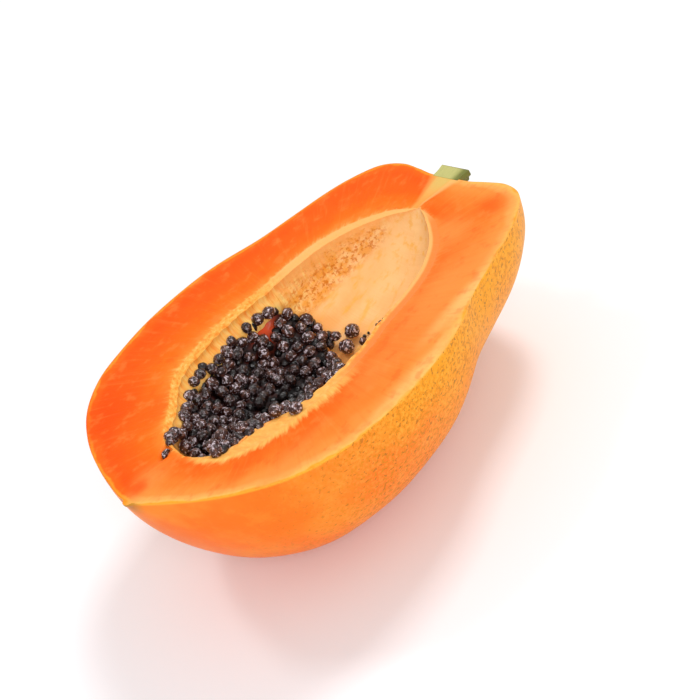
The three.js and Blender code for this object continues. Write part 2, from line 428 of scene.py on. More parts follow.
class Tone(Enum):
    """Tones of a ripe papaya that lie in soft patches on its flesh and skin; along the near side of the
    cut face the light and pale flesh tones are partly a painted reflection.
    """

    DEEP_FLESH = "fa4c04"
    RIPE_FLESH = "f86010"
    LIGHT_FLESH = "fb9042"
    PALE_FLESH = "fdbe70"
    TORN_FLESH = "d23a1c"
    WET_TISSUE = "e8501a"
    ORANGE_SKIN = "f28216"
    GOLDEN_SKIN = "fa9722"
    STEM_SKIN = "c9b04a"
    NIB_SKIN = "a5752c"


class Patch(NamedTuple):
    """A soft round patch of one tone, with its middle and its reach in millimetres."""

    centre: tuple[float, float, float]
    reach: tuple[float, float, float]
    tone: Tone
    strength: float


class Finish:
    """A material that is put together node by node."""

    def __init__(self, name: str) -> None:
        """Starts an empty material.

        Args:
            name: Real-life name of the material.
        """
        self.material = bpy.data.materials.new(name)
        self.material.use_nodes = True
        self.material.node_tree.nodes.clear()

    def add(
        self, kind: str, inputs: dict[str | int, Source] | None = None, **settings: object
    ) -> bpy.types.Node:
        """Adds a node with its settings and links.

        Args:
            kind: Blender's name of the node's type.
            inputs: Input names or numbers, each with what it takes.
            **settings: Properties of the node.

        Returns:
            The node.
        """
        node = self.material.node_tree.nodes.new(kind)
        for key, value in settings.items():
            setattr(node, key, value)
        for key, source in (inputs or {}).items():
            if isinstance(source, bpy.types.Node):
                source = next(socket for socket in source.outputs if socket.enabled)
            if isinstance(source, bpy.types.NodeSocket):
                self.material.node_tree.links.new(source, node.inputs[key])
            else:
                node.inputs[key].default_value = linear(source) if isinstance(source, str) else source
        return node

    def laid(
        self, under: Source, over: Source, *limits: Limit, strength: Source = 1.0
    ) -> bpy.types.Node:
        """Lays one colour over another where every value has passed its limits.

        Args:
            under: Colour below.
            over: Colour above.
            *limits: The values, each with where the upper colour starts and where it is full.
            strength: Most that the upper colour shows.

        Returns:
            The node that gives the colour.
        """
        share = strength
        for value, start, full in limits:
            inputs = {"Value": value, "From Min": start, "From Max": full, "To Max": share}
            share = self.add("ShaderNodeMapRange", inputs, interpolation_type="SMOOTHSTEP")
        return self.add("ShaderNodeMix", {0: share, 6: under, 7: over}, data_type="RGBA")

    def graded(self, value: Source, stops: tuple[tuple[float, str], ...]) -> bpy.types.Node:
        """Lays a row of colours one over the other as a value grows.

        Args:
            value: The value.
            stops: Places of the value, each with a hex colour.

        Returns:
            The node that gives the colour.
        """
        (start, colour), *others = stops
        for place, over in others:
            colour = self.laid(colour, over, (value, start, place))
            start = place
        return colour

    def speckle(
        self,
        vector: Source,
        step: Lumps,
        detail: float = 2.0,
        roughness: float = 0.5,
    ) -> bpy.types.Node:
        """Makes noise with lumps of a real size.

        Args:
            vector: The coordinates.
            step: Size of a lump along each axis, in the units of the coordinates.
            detail: Octaves of finer noise.
            roughness: Strength of the finer noise.

        Returns:
            The node that gives the noise, from 0 to 1 about a middle of 0.5.
        """
        scale = tuple(1 / size for size in step)
        placed = self.add("ShaderNodeMapping", {"Vector": vector, "Scale": scale})
        inputs = {"Vector": placed, "Scale": 1.0, "Detail": detail, "Roughness": roughness}
        return self.add("ShaderNodeTexNoise", inputs)

    def patched(self, under: Source, vector: Source, patches: tuple[Patch, ...]) -> Source:
        """Lays soft round patches over a colour.

        Args:
            under: Colour below.
            vector: The fruit's own coordinates, in millimetres.
            patches: The patches, the lowest one first.

        Returns:
            The colour.
        """
        colour = under
        for patch in patches:
            scale = tuple(1 / size for size in patch.reach)
            offset = tuple(-c / size for c, size in zip(patch.centre, patch.reach))
            inputs = {"Vector": vector, "Location": offset, "Scale": scale}
            placed = self.add("ShaderNodeMapping", inputs)
            away = self.add("ShaderNodeVectorMath", {0: placed}, operation="LENGTH")
            colour = self.laid(colour, patch.tone.value, (away, 1.0, 0.0), strength=patch.strength)
        return colour

    def shaded(self, **inputs: Source) -> bpy.types.Material:
        """Closes the material with its surface shader.

        Args:
            **inputs: Inputs of the shader, with spaces as underscores.

        Returns:
            The finished material.
        """
        named = {key.replace("_", " "): source for key, source in inputs.items()}
        shader = self.add("ShaderNodeBsdfPrincipled", named)
        self.add("ShaderNodeOutputMaterial", {0: shader})
        return self.material


# Juice that glows a few millimetres into orange flesh
FLESH_GLOW = (1.0, 0.42, 0.12)


class Spot(NamedTuple):
    """Where a point of the flesh lies, as the nodes read it.

    The grain counts millimetres round the rim and inwards. The way inward is 0 at the skin, 1 at
    the cavity's mouth, 2 at its lip's inner edge and 3 at its bottom.
    """

    fruit: Source
    grain: Source
    inward: Source
    x: Source
    y: Source


@dataclass(frozen=True)
class FruitCore:
    """Pale fibrous core that narrows from the stem to the end of the cavity."""

    middle: float = 2.4
    along: Span = (180.0, 197.0)
    half_widths: Span = (1.5, 5.2)
    shows: Span = (172.0, 178.0)
    by_stem: Span = (179.0, 194.0)
    edges_show: Span = (172.0, 180.0)
    pale_orange: str = "f8a850"
    stem_yellow: str = "dcbc68"
    light_edge: str = "fcc47a"
    dark_edge: str = "e8893c"

    def over(self, finish: Finish, body: Source, at: Spot) -> Source:
        """Draws the core over the cut face.

        Args:
            finish: The material being made.
            body: Colour below.
            at: Where the point lies.

        Returns:
            The colour.
        """
        (start, end), (narrow, wide) = self.along, self.half_widths
        off_middle = finish.add("ShaderNodeMath", {0: at.y, 1: self.middle}, operation="SUBTRACT")
        half_width = finish.add("ShaderNodeMapRange", {
            "Value": at.x, "From Min": start, "From Max": end, "To Min": narrow, "To Max": wide,
        })
        share = finish.add("ShaderNodeMath", {0: off_middle, 1: half_width}, operation="DIVIDE")
        near, far = (share, -1.5, -0.4), (share, 1.6, 0.3)
        body = finish.laid(body, self.pale_orange, near, far, (at.x, *self.shows), strength=0.8)
        body = finish.laid(body, self.stem_yellow, near, far, (at.x, *self.by_stem), strength=0.85)
        near, far, shown = (share, -1.7, -1.2), (share, -0.7, -1.0), (at.x, *self.edges_show)
        body = finish.laid(body, self.light_edge, near, far, shown, strength=0.45)
        near, far = (share, 0.6, 0.9), (share, 1.3, 1.0)
        return finish.laid(body, self.dark_edge, near, far, shown, strength=0.4)


@dataclass(frozen=True)
class CavityLip:
    """Pale lip round the cavity: fibrous beside the seeds and smooth towards the stem."""

    streak_mm: Lumps = (2.4, 2.4, 11.0)
    orange: str = "f48a30"
    yellow: str = "faab4c"
    cream: str = "fcc470"
    smooth: str = "fbb468"
    near_cream: str = "fbbc64"
    near_orange: str = "fb8a40"
    towards_stem: Span = (108.0, 132.0)
    beside_seeds: Span = (104.0, 84.0)
    past_seeds: Span = (76.0, 96.0)
    outer_half: Span = (1.8, 1.55)
    near_side: Span = (-2.0, -12.0)

    def colour(self, finish: Finish, at: Spot) -> Source:
        """Colours the lip.

        Args:
            finish: The material being made.
            at: Where the point lies.

        Returns:
            The colour.
        """
        near = (at.y, *self.near_side)
        streak = finish.speckle(at.grain, self.streak_mm, 3.0, 0.65)
        lip = finish.laid(self.orange, self.yellow, (streak, 0.36, 0.54))
        lip = finish.laid(lip, self.cream, (streak, 0.54, 0.7))
        lip = finish.laid(lip, self.smooth, (at.x, *self.towards_stem))
        lip = finish.laid(lip, self.near_cream, (at.x, *self.beside_seeds), near, strength=0.55)
        outer = (at.inward, *self.outer_half)
        return finish.laid(lip, self.near_orange, (at.x, *self.past_seeds), outer, near)


@dataclass(frozen=True)
class CavityLining:
    """Lining of the cavity: smooth and pale, with yellow veins, seed stalks and seed scars, and painted
    light that lifts the wall's shade towards the stem and under the far lip.
    """

    cloud_mm: Lumps = (16.0, 11.0, 11.0)
    vein_mm: Lumps = (14.0, 2.8, 2.8)
    stalk_mm: Lumps = (2.0, 2.0, 22.0)
    pit_mm: Lumps = (1.7, 1.3, 1.3)
    stain_mm: Lumps = (5.0, 3.0, 3.0)
    apricot: str = "feb568"
    pale_apricot: str = "ffc888"
    stem_cream_and_painted_light: str = "ffd090"
    under_lip_yellow_and_painted_light: str = "ffd27c"
    vein_yellow: str = "fab850"
    stalk_cream: str = "ffe08c"
    stalk_brown: str = "e2963a"
    scar_yellow: str = "f2a038"
    scar_brown: str = "d4761c"
    towards_stem: Span = (120.0, 165.0)
    seed_end: Span = (135.0, 115.0)
    stalks_start: Span = (74.0, 88.0)
    stalks_end: Span = (158.0, 140.0)

    def colour(self, finish: Finish, at: Spot) -> Source:
        """Colours the cavity's wall.

        Args:
            finish: The material being made.
            at: Where the point lies.

        Returns:
            The colour.
        """
        cloud = finish.speckle(at.fruit, self.cloud_mm, 3.0)
        lining = finish.laid(self.apricot, self.pale_apricot, (cloud, 0.35, 0.68))
        # Painted light: lighter cream towards the stem, partly the wall's own colour and partly lifting
        # its shade there
        lining = finish.laid(lining, self.stem_cream_and_painted_light, (at.x, *self.towards_stem), strength=0.7)
        # Painted light: lighter yellow on the upper far wall under the lip, partly its own colour and
        # partly lifting its shade there
        upper_far = ((at.inward, 2.7, 2.35), (at.y, 0, 8))
        lining = finish.laid(lining, self.under_lip_yellow_and_painted_light, *upper_far, (at.x, *self.seed_end))
        vein = finish.speckle(at.fruit, self.vein_mm, 3.0, 0.6)
        lining = finish.laid(lining, self.vein_yellow, (vein, 0.5, 0.7), strength=0.7)
        stalk = finish.speckle(at.grain, self.stalk_mm, 2.0, 0.6)
        under_lip = ((at.inward, 2.6, 2.2), (at.y, 0, 6))
        under_lip = (*under_lip, (at.x, *self.stalks_start), (at.x, *self.stalks_end))
        lining = finish.laid(lining, self.stalk_cream, (stalk, 0.5, 0.6), *under_lip, strength=0.9)
        lining = finish.laid(lining, self.stalk_brown, (stalk, 0.46, 0.36), *under_lip, strength=0.7)
        scars = finish.add("ShaderNodeAttribute", attribute_name="scars").outputs["Fac"]
        pits = finish.speckle(at.fruit, self.pit_mm, 2.0, 0.6)
        stain = finish.speckle(at.fruit, self.stain_mm, 3.0, 0.6)
        stained, pitted = ((stain, 0.42, 0.6), (scars, 0, 0.8)), ((pits, 0.5, 0.62), (scars, 0, 1))
        lining = finish.laid(lining, self.scar_yellow, *stained, strength=0.8)
        return finish.laid(lining, self.scar_brown, *pitted, strength=0.8)


@dataclass(frozen=True)
class PapayaFlesh:
    """Cut flesh of a ripe papaya: moist, soft, half see-through, with a satin shine.

    The colours from the skin to the cavity's mouth are given at shares of the way.
    """

    roughness: float = 0.38
    ior: float = 1.36
    gloss: float = 0.12
    glow: float = 0.06
    glow_mm: float = 2.5
    pore_mm: Lumps = (0.9, 0.9, 0.9)
    pore_height: float = 0.35
    drawn_mm: Lumps = (1.2, 1.2, 14.0)
    bump_mm: float = 0.2
    bump: float = 0.5
    wobble_mm: Lumps = (9.0, 9.0, 9.0)
    wobble: float = 0.16
    fibre_mm: Lumps = (2.2, 2.2, 18.0)
    fibre_red: str = "f85a14"
    fibre_light: str = "fe9a48"
    cloud_mm: Lumps = (8.0, 6.0, 6.0)
    cloud_light: str = "fd8e40"
    cloud_red: str = "f4500c"
    edge_mm: Lumps = (2.6, 2.6, 9.0)
    far_side: Span = (-6.0, 6.0)
    near_side: Span = (-4.0, -14.0)
    beside_seeds: Span = (98.0, 78.0)
    near_lip_from: Span = (0.98, 1.12)
    lip_from: Span = (1.08, 1.24)
    lining_from: Span = (2.35, 2.8)
    far_stops: tuple[tuple[float, str], ...] = (
        (0.0, "f5861a"), (0.03, "fa9428"), (0.07, "fa6412"), (0.2, "fa560a"), (0.5, "fa5f0d"),
        (0.75, "fa6c10"), (1.0, "fa8228"),
    )
    # Near side: lighter stops, partly the flesh's own tone and partly a painted reflection of the soft
    # light
    near_stops: tuple[tuple[float, str], ...] = (
        (0.0, "f8a832"), (0.03, "fcb65a"), (0.1, "fba654"), (0.2, "f9903c"), (0.45, "f87e2a"),
        (0.7, "f66e1a"), (0.9, "f56410"), (1.0, "f6701c"),
    )
    # Deepest by the tip and on the far side, lightest along the near rim; the near side's lightness is
    # partly the flesh's own tone and partly a painted reflection of the soft light
    zones: tuple[Patch, ...] = (
        # Deepest on the far shoulder by the tip, still ripe further in and at the stem
        Patch((32, 44, 0), (34, 20, 30), Tone.DEEP_FLESH, 0.8),
        Patch((42, 26, 0), (24, 12, 30), Tone.RIPE_FLESH, 0.8),
        Patch((150, 42, 0), (50, 16, 30), Tone.RIPE_FLESH, 0.6),
        Patch((188, 24, 0), (12, 22, 30), Tone.RIPE_FLESH, 0.6),
        # A ripe streak inside the near rim
        Patch((24, -15, 0), (10, 8, 30), Tone.RIPE_FLESH, 0.5),
        Patch((31, -31, 0), (18, 6, 30), Tone.RIPE_FLESH, 0.7),
        Patch((56, -42, 0), (30, 6, 30), Tone.RIPE_FLESH, 0.6),
        # Lighter along the near side towards the stem, partly a painted reflection, with one ripe shoulder
        # there
        Patch((136, -42, 0), (60, 20, 30), Tone.LIGHT_FLESH, 0.85),
        Patch((166, -22, 0), (18, 16, 30), Tone.LIGHT_FLESH, 0.85),
        Patch((90, -46, 0), (26, 12, 30), Tone.LIGHT_FLESH, 0.5),
        Patch((186, -29, 0), (13, 11, 30), Tone.RIPE_FLESH, 0.85),
        # Palest just under the near rim
        Patch((140, -54, 0), (46, 6, 30), Tone.PALE_FLESH, 0.85),
        Patch((96, -63, 0), (46, 6, 30), Tone.PALE_FLESH, 0.6),
        Patch((34, -46, 0), (38, 8, 30), Tone.LIGHT_FLESH, 0.5),
        # A light ring round the tip's red point, and torn flesh in the slit
        Patch((14, 0, 0), (12, 10, 30), Tone.LIGHT_FLESH, 0.7),
        Patch((8, 1, 0), (7, 5, 30), Tone.DEEP_FLESH, 0.7),
        Patch((29.5, 5.2, 0), (4, 3, 30), Tone.TORN_FLESH, 0.85),
    )

    def make(self) -> bpy.types.Material:
        """Builds the material.

        Returns:
            The material.
        """
        finish = Finish("papaya_flesh")
        fruit = finish.add("ShaderNodeAttribute", attribute_name="fruit").outputs["Vector"]
        grain = finish.add("ShaderNodeAttribute", attribute_name="grain").outputs["Vector"]
        inward = finish.add("ShaderNodeAttribute", attribute_name="inward").outputs["Fac"]
        x, y, _ = finish.add("ShaderNodeSeparateXYZ", {0: fruit}).outputs
        at = Spot(fruit, grain, inward, x, y)
        body = finish.patched(self.body_colour(finish, at), fruit, self.zones)
        body = FruitCore().over(finish, self.with_fibres(finish, body, at), at)
        fine = finish.speckle(fruit, self.pore_mm)
        drawn = finish.speckle(grain, self.drawn_mm)
        height = finish.add(
            "ShaderNodeMath", {0: fine, 1: self.pore_height, 2: drawn}, operation="MULTIPLY_ADD"
        )
        return finish.shaded(
            Base_Color=self.with_cavity(finish, body, at),
            Roughness=self.roughness,
            IOR=self.ior,
            Specular_IOR_Level=self.gloss,
            Subsurface_Weight=self.glow,
            Subsurface_Radius=FLESH_GLOW,
            Subsurface_Scale=self.glow_mm * MM,
            Normal=finish.add("ShaderNodeBump", {
                "Height": height, "Distance": self.bump_mm * MM, "Strength": self.bump,
            }),
        )

    def body_colour(self, finish: Finish, at: Spot) -> Source:
        """Colours the cut face from the skin to the cavity, deeper on the far side and lighter on the near
        side, where the lightness is partly a painted reflection.

        Args:
            finish: The material being made.
            at: Where the point lies.

        Returns:
            The colour.
        """
        waver = finish.speckle(at.fruit, self.wobble_mm, 3.0)
        at_most = finish.add("ShaderNodeMath", {0: at.inward, 1: 1.0}, operation="MINIMUM")
        drift = finish.add(
            "ShaderNodeMath", {0: waver, 1: self.wobble, 2: -self.wobble / 2},
            operation="MULTIPLY_ADD",
        )
        moved = finish.add("ShaderNodeMath", {0: at_most, 1: drift}, operation="ADD")
        near, far = finish.graded(moved, self.near_stops), finish.graded(moved, self.far_stops)
        return finish.laid(near, far, (at.y, *self.far_side))

    def with_fibres(self, finish: Finish, body: Source, at: Spot) -> Source:
        """Draws the fine fibres that run from the skin to the cavity, and soft clouds.

        Args:
            finish: The material being made.
            body: Colour below.
            at: Where the point lies.

        Returns:
            The colour.
        """
        streak = finish.speckle(at.grain, self.fibre_mm, 3.0, 0.6)
        body = finish.laid(body, self.fibre_red, (streak, 0.5, 0.78), strength=0.22)
        body = finish.laid(body, self.fibre_light, (streak, 0.48, 0.24), strength=0.2)
        cloud = finish.speckle(at.fruit, self.cloud_mm, 3.0, 0.6)
        body = finish.laid(body, self.cloud_light, (cloud, 0.52, 0.7), strength=0.35)
        return finish.laid(body, self.cloud_red, (cloud, 0.46, 0.3), strength=0.3)

    def with_cavity(self, finish: Finish, body: Source, at: Spot) -> Source:
        """Lays lip and lining over the flesh, with ragged edges.

        Args:
            finish: The material being made.
            body: Colour below.
            at: Where the point lies.

        Returns:
            The colour.
        """
        lip, lining = CavityLip().colour(finish, at), CavityLining().colour(finish, at)
        edge = finish.speckle(at.grain, self.edge_mm, 3.0, 0.7)
        reach, depth = (
            finish.add("ShaderNodeMath", {0: edge, 1: share, 2: at.inward}, operation="MULTIPLY_ADD")
            for share in (0.3, 0.8)
        )
        beside_seeds = ((at.y, *self.near_side), (at.x, *self.beside_seeds))
        colour = finish.laid(body, lip, (reach, *self.near_lip_from), *beside_seeds)
        colour = finish.laid(colour, lip, (reach, *self.lip_from))
        return finish.laid(colour, lining, (depth, *self.lining_from))


@dataclass(frozen=True)
class PapayaSkin:
    """Ripe waxy skin: thin, smooth, with a soft shine and fine tan freckles."""

    roughness: float = 0.42
    ior: float = 1.4
    gloss: float = 0.16
    glow: float = 0.05
    glow_mm: float = 2.0
    pore_mm: Lumps = (0.8, 0.8, 0.8)
    pore_height: float = 0.25
    dent_mm: Lumps = (6.0, 4.0, 4.0)
    bump_mm: float = 0.3
    bump: float = 0.5
    orange: str = "fa7418"
    light_orange: str = "fb8a2a"
    stem_gold: str = "fa9c10"
    underside: str = "fa6c14"
    cloud_mm: Lumps = (34.0, 26.0, 26.0)
    towards_stem: Span = (60.0, 165.0)
    underneath: Span = (-40.0, -70.0)
    mottle_mm: Lumps = (9.0, 6.0, 6.0)
    mottle_light: str = "ff9c34"
    mottle_dark: str = "f07010"
    band_gold: str = "faa408"
    rim_gold: str = "fbae34"
    band_along: Span = (30.0, 170.0)
    band_widths: Span = (4.0, 34.0)
    band_wobble: float = 14.0
    band_shows: Span = (40.0, 110.0)
    rim_mm: Span = (-1.6, -0.3)
    freckle_mm: Lumps = (1.5, 1.5, 1.5)
    freckle_brown: str = "d8820e"
    freckle_light: str = "ffb848"
    dot_mm: Lumps = (1.6, 1.5, 1.5)
    dot_brown: str = "b0681a"
    field_mm: Lumps = (22.0, 16.0, 16.0)
    patches: tuple[Patch, ...] = (
        Patch((197, 0, 0), (7, 24, 24), Tone.STEM_SKIN, 0.7),
        Patch((0, 0, -1), (6, 8, 8), Tone.NIB_SKIN, 0.8),
        # Deeper orange on both shoulders and the near flank, more golden towards the back
        Patch((170, -57, -26), (34, 16, 26), Tone.ORANGE_SKIN, 0.8),
        Patch((120, -64, -34), (60, 12, 14), Tone.ORANGE_SKIN, 0.5),
        Patch((150, 58, -28), (30, 18, 20), Tone.ORANGE_SKIN, 0.5),
        Patch((60, 50, -50), (40, 22, 24), Tone.GOLDEN_SKIN, 0.5),
        Patch((120, 10, -66), (46, 30, 20), Tone.GOLDEN_SKIN, 0.5),
    )

    def make(self) -> bpy.types.Material:
        """Builds the material.

        Returns:
            The material.
        """
        finish = Finish("papaya_skin")
        fruit = finish.add("ShaderNodeAttribute", attribute_name="fruit").outputs["Vector"]
        x, _, z = finish.add("ShaderNodeSeparateXYZ", {0: fruit}).outputs
        cloud = finish.speckle(fruit, self.cloud_mm, 3.0, 0.55)
        skin = finish.laid(self.orange, self.light_orange, (cloud, 0.38, 0.66))
        skin = finish.laid(skin, self.stem_gold, (x, *self.towards_stem))
        skin = finish.laid(skin, self.underside, (z, *self.underneath))
        mottle = finish.speckle(fruit, self.mottle_mm, 3.0, 0.6)
        skin = finish.laid(skin, self.mottle_light, (mottle, 0.48, 0.75), strength=0.25)
        skin = finish.laid(skin, self.mottle_dark, (mottle, 0.5, 0.25), strength=0.25)
        skin = self.with_gold_band(finish, skin, x, z, cloud)
        skin = finish.patched(skin, fruit, self.patches)
        skin = self.with_freckles(finish, skin, fruit, x)
        pores, dents = finish.speckle(fruit, self.pore_mm), finish.speckle(fruit, self.dent_mm)
        height = finish.add(
            "ShaderNodeMath", {0: pores, 1: self.pore_height, 2: dents}, operation="MULTIPLY_ADD"
        )
        return finish.shaded(
            Base_Color=skin,
            Roughness=self.roughness,
            IOR=self.ior,
            Subsurface_Weight=self.glow,
            Subsurface_Radius=FLESH_GLOW,
            Subsurface_Scale=self.glow_mm * MM,
            Specular_IOR_Level=self.gloss,
            Normal=finish.add("ShaderNodeBump", {
                "Height": height, "Distance": self.bump_mm * MM, "Strength": self.bump,
            }),
        )

    def with_gold_band(
        self, finish: Finish, skin: Source, x: Source, z: Source, cloud: Source
    ) -> Source:
        """Lays the golden band below the rim, wider towards the stem.

        Args:
            finish: The material being made.
            skin: Colour below.
            x: Place along the fruit.
            z: Height.
            cloud: Slow noise, which the band's edge follows.

        Returns:
            The colour.
        """
        (start, end), (narrow, wide) = self.band_along, self.band_widths
        widening = finish.add("ShaderNodeMapRange", {
            "Value": x, "From Min": start, "From Max": end, "To Min": narrow, "To Max": wide,
        })
        width = finish.add(
            "ShaderNodeMath", {0: cloud, 1: self.band_wobble, 2: widening}, operation="MULTIPLY_ADD"
        )
        share = finish.add("ShaderNodeMath", {0: z, 1: width}, operation="DIVIDE")
        shown = (x, *self.band_shows)
        skin = finish.laid(skin, self.band_gold, (share, -1.0, -0.15), shown, strength=0.85)
        return finish.laid(skin, self.rim_gold, (z, *self.rim_mm))

    def with_freckles(self, finish: Finish, skin: Source, fruit: Source, x: Source) -> Source:
        """Scatters tan freckles and fine brown dots over the skin, in fields of their own.

        Args:
            finish: The material being made.
            skin: Colour below.
            fruit: The fruit's own coordinates, in millimetres.
            x: Place along the fruit.

        Returns:
            The colour.
        """
        field = finish.speckle(fruit, self.field_mm)
        marks = finish.speckle(fruit, self.freckle_mm, 3.0, 0.7)
        covered = ((marks, 0.48, 0.6), (field, 0.25, 0.5), (x, 10, 70))
        skin = finish.laid(skin, self.freckle_brown, *covered, strength=0.85)
        covered = ((marks, 0.5, 0.38), (field, 0.25, 0.5), (x, 10, 90))
        skin = finish.laid(skin, self.freckle_light, *covered, strength=0.4)
        dots = finish.speckle(fruit, self.dot_mm, 1.0)
        return finish.laid(skin, self.dot_brown, (dots, 0.6, 0.71), (x, 0, 75), strength=0.75)


@dataclass(frozen=True)
class SeedSkin:
    """Fresh papaya seed in its thin clear jacket: near black, wrinkled and wet, with pale spots that are
    partly the jacket's own colour and partly painted highlights.
    """

    roughness: float = 0.4
    ior: float = 1.4
    gloss: float = 0.3
    jacket: float = 0.85
    jacket_roughness: float = 0.14
    jacket_ior: float = 1.45
    wrinkle_mm: Lumps = (1.1, 1.1, 1.1)
    wrinkle_depth_mm: float = 0.4
    cloud_mm: Lumps = (1.8, 1.8, 1.8)
    black: str = "0a0303"
    dark_brown: str = "38140a"
    red_brown: str = "7e4a38"
    jacket_white_and_highlight: str = "d8c8d0"

    def make(self) -> bpy.types.Material:
        """Builds the material.

        Returns:
            The material.
        """
        finish = Finish("papaya_seed")
        fruit = finish.add("ShaderNodeAttribute", attribute_name="fruit").outputs["Vector"]
        shade = finish.add("ShaderNodeAttribute", attribute_name="shade").outputs["Fac"]
        cloud = finish.speckle(fruit, self.cloud_mm)
        # Darker by the shade attribute: a random tone, with painted shade in the heap's middle and lower
        # layer and painted light by the near lip
        seed = finish.laid(self.black, self.dark_brown, (shade, 0, 1))
        reddish = ((cloud, 0.5, 0.7), (shade, 0.1, 0.6))
        seed = finish.laid(seed, self.red_brown, *reddish, strength=0.6)
        wrinkles = finish.speckle(fruit, self.wrinkle_mm, 2.0, 0.6)
        # Pale spots: partly the jacket's whitish colour, partly painted highlights, shown only on the
        # lighter seeds
        jacket_and_highlight_spots = ((wrinkles, 0.54, 0.64), (shade, 0.15, 0.7))
        seed = finish.laid(seed, self.jacket_white_and_highlight, *jacket_and_highlight_spots, strength=0.9)
        inputs = {"Height": wrinkles, "Distance": self.wrinkle_depth_mm * MM}
        normal = finish.add("ShaderNodeBump", inputs)
        return finish.shaded(
            Base_Color=seed,
            Roughness=self.roughness,
            IOR=self.ior,
            Specular_IOR_Level=self.gloss,
            Coat_Weight=self.jacket,
            Coat_Roughness=self.jacket_roughness,
            Coat_IOR=self.jacket_ior,
            Coat_Normal=normal,
            Normal=normal,
        )


@dataclass(frozen=True)
class SeedTissue:
    """Wet tissue that holds the seeds: dark red to near black under them, partly its own colour and partly
    painted shade in the gaps between the seeds, pale orange where it thins out.
    """

    roughness: float = 0.3
    ior: float = 1.4
    cloud_mm: Lumps = (5.0, 4.0, 4.0)
    bump_mm: float = 0.8
    bump: float = 0.7
    painted_shade_black_red: str = "100303"
    painted_shade_dark_red: str = "4a1408"
    orange: str = "f0963c"
    pale_orange: str = "fbbf6c"
    bare: Patch = Patch((104, 27, -11), (10, 7, 9), Tone.WET_TISSUE, 1.0)

    def make(self) -> bpy.types.Material:
        """Builds the material.

        Returns:
            The material.
        """
        finish = Finish("papaya_seed_tissue")
        fruit = finish.add("ShaderNodeAttribute", attribute_name="fruit").outputs["Vector"]
        shade = finish.add("ShaderNodeAttribute", attribute_name="shade").outputs["Fac"]
        cloud = finish.speckle(fruit, self.cloud_mm, 3.0, 0.6)
        # Painted shade: near black to dark red under the seeds, standing for the shadow in the gaps
        # between them
        dark = finish.laid(self.painted_shade_black_red, self.painted_shade_dark_red, (cloud, 0.42, 0.75))
        dark = finish.patched(dark, fruit, (self.bare,))
        pale = finish.laid(self.orange, self.pale_orange, (cloud, 0.4, 0.62))
        return finish.shaded(
            Base_Color=finish.laid(dark, pale, (shade, 0.1, 0.9)),
            Roughness=self.roughness,
            IOR=self.ior,
            Normal=finish.add("ShaderNodeBump", {
                "Height": cloud, "Distance": self.bump_mm * MM, "Strength": self.bump,
            }),
        )


@dataclass(frozen=True)
class StemSkin:
    """Cut papaya stem: fibrous, ribbed, green going brown where it has dried."""

    roughness: float = 0.7
    ior: float = 1.45
    fibre_mm: Lumps = (6.0, 0.7, 0.7)
    dried_mm: Lumps = (2.4, 2.4, 2.4)
    bump_mm: float = 0.5
    bump: float = 0.8
    green: str = "88933e"
    light_green: str = "b0ae5a"
    shaded_green: str = "72762f"
    dried_brown: str = "7a6a34"
    cut_cream: str = "cac37a"

    def make(self) -> bpy.types.Material:
        """Builds the material.

        Returns:
            The material.
        """
        finish = Finish("papaya_stem")
        fruit = finish.add("ShaderNodeAttribute", attribute_name="fruit").outputs["Vector"]
        _, y, z = finish.add("ShaderNodeSeparateXYZ", {0: fruit}).outputs
        fibres = finish.speckle(fruit, self.fibre_mm, 3.0, 0.6)
        stem = finish.laid(self.green, self.light_green, (fibres, 0.35, 0.65))
        stem = finish.laid(stem, self.shaded_green, (y, 0.5, -4.0))
        dried = finish.speckle(fruit, self.dried_mm)
        stem = finish.laid(stem, self.dried_brown, (dried, 0.55, 0.72), strength=0.6)
        stem = finish.laid(stem, self.cut_cream, (z, -1.6, -0.1), (y, -3.5, 0.5), strength=0.75)
        return finish.shaded(
            Base_Color=stem,
            Roughness=self.roughness,
            IOR=self.ior,
            Normal=finish.add("ShaderNodeBump", {
                "Height": fibres, "Distance": self.bump_mm * MM, "Strength": self.bump,
            }),
        )


@dataclass(frozen=True)
class MattPaper:
    """White paper of the studio's floor."""

    roughness: float = 0.9
    gloss: float = 0.2
    white: str = "fbfcff"

    def make(self) -> bpy.types.Material:
        """Builds the material.

        Returns:
            The material.
        """
        return Finish("matt_white_paper").shaded(
            Base_Color=self.white, Roughness=self.roughness, Specular_IOR_Level=self.gloss
        )


# Pieces


def settle(obj: bpy.types.Object, form: FruitForm, material_slot: Slot, *nodes: str) -> bpy.types.Object:
    """Args:
        obj: The piece, in millimetres in the fruit's axes.
        form: The form that knows the way into the row frame.
        material_slot: Not used.
        *nodes: The CAD nodes that it stands for.

    Returns:
        The piece.
    """
    fruit_places = places(obj)
    store(obj, "fruit", fruit_places)
    row_places = form.to_row(fruit_places)
    row_places[:, 2] = np.maximum(row_places[:, 2], 0)
    set_places(obj, row_places)
    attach(obj, ROOT)
    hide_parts(*nodes)
    log.info("%s: %d faces", obj.name, len(obj.data.polygons))
    return obj


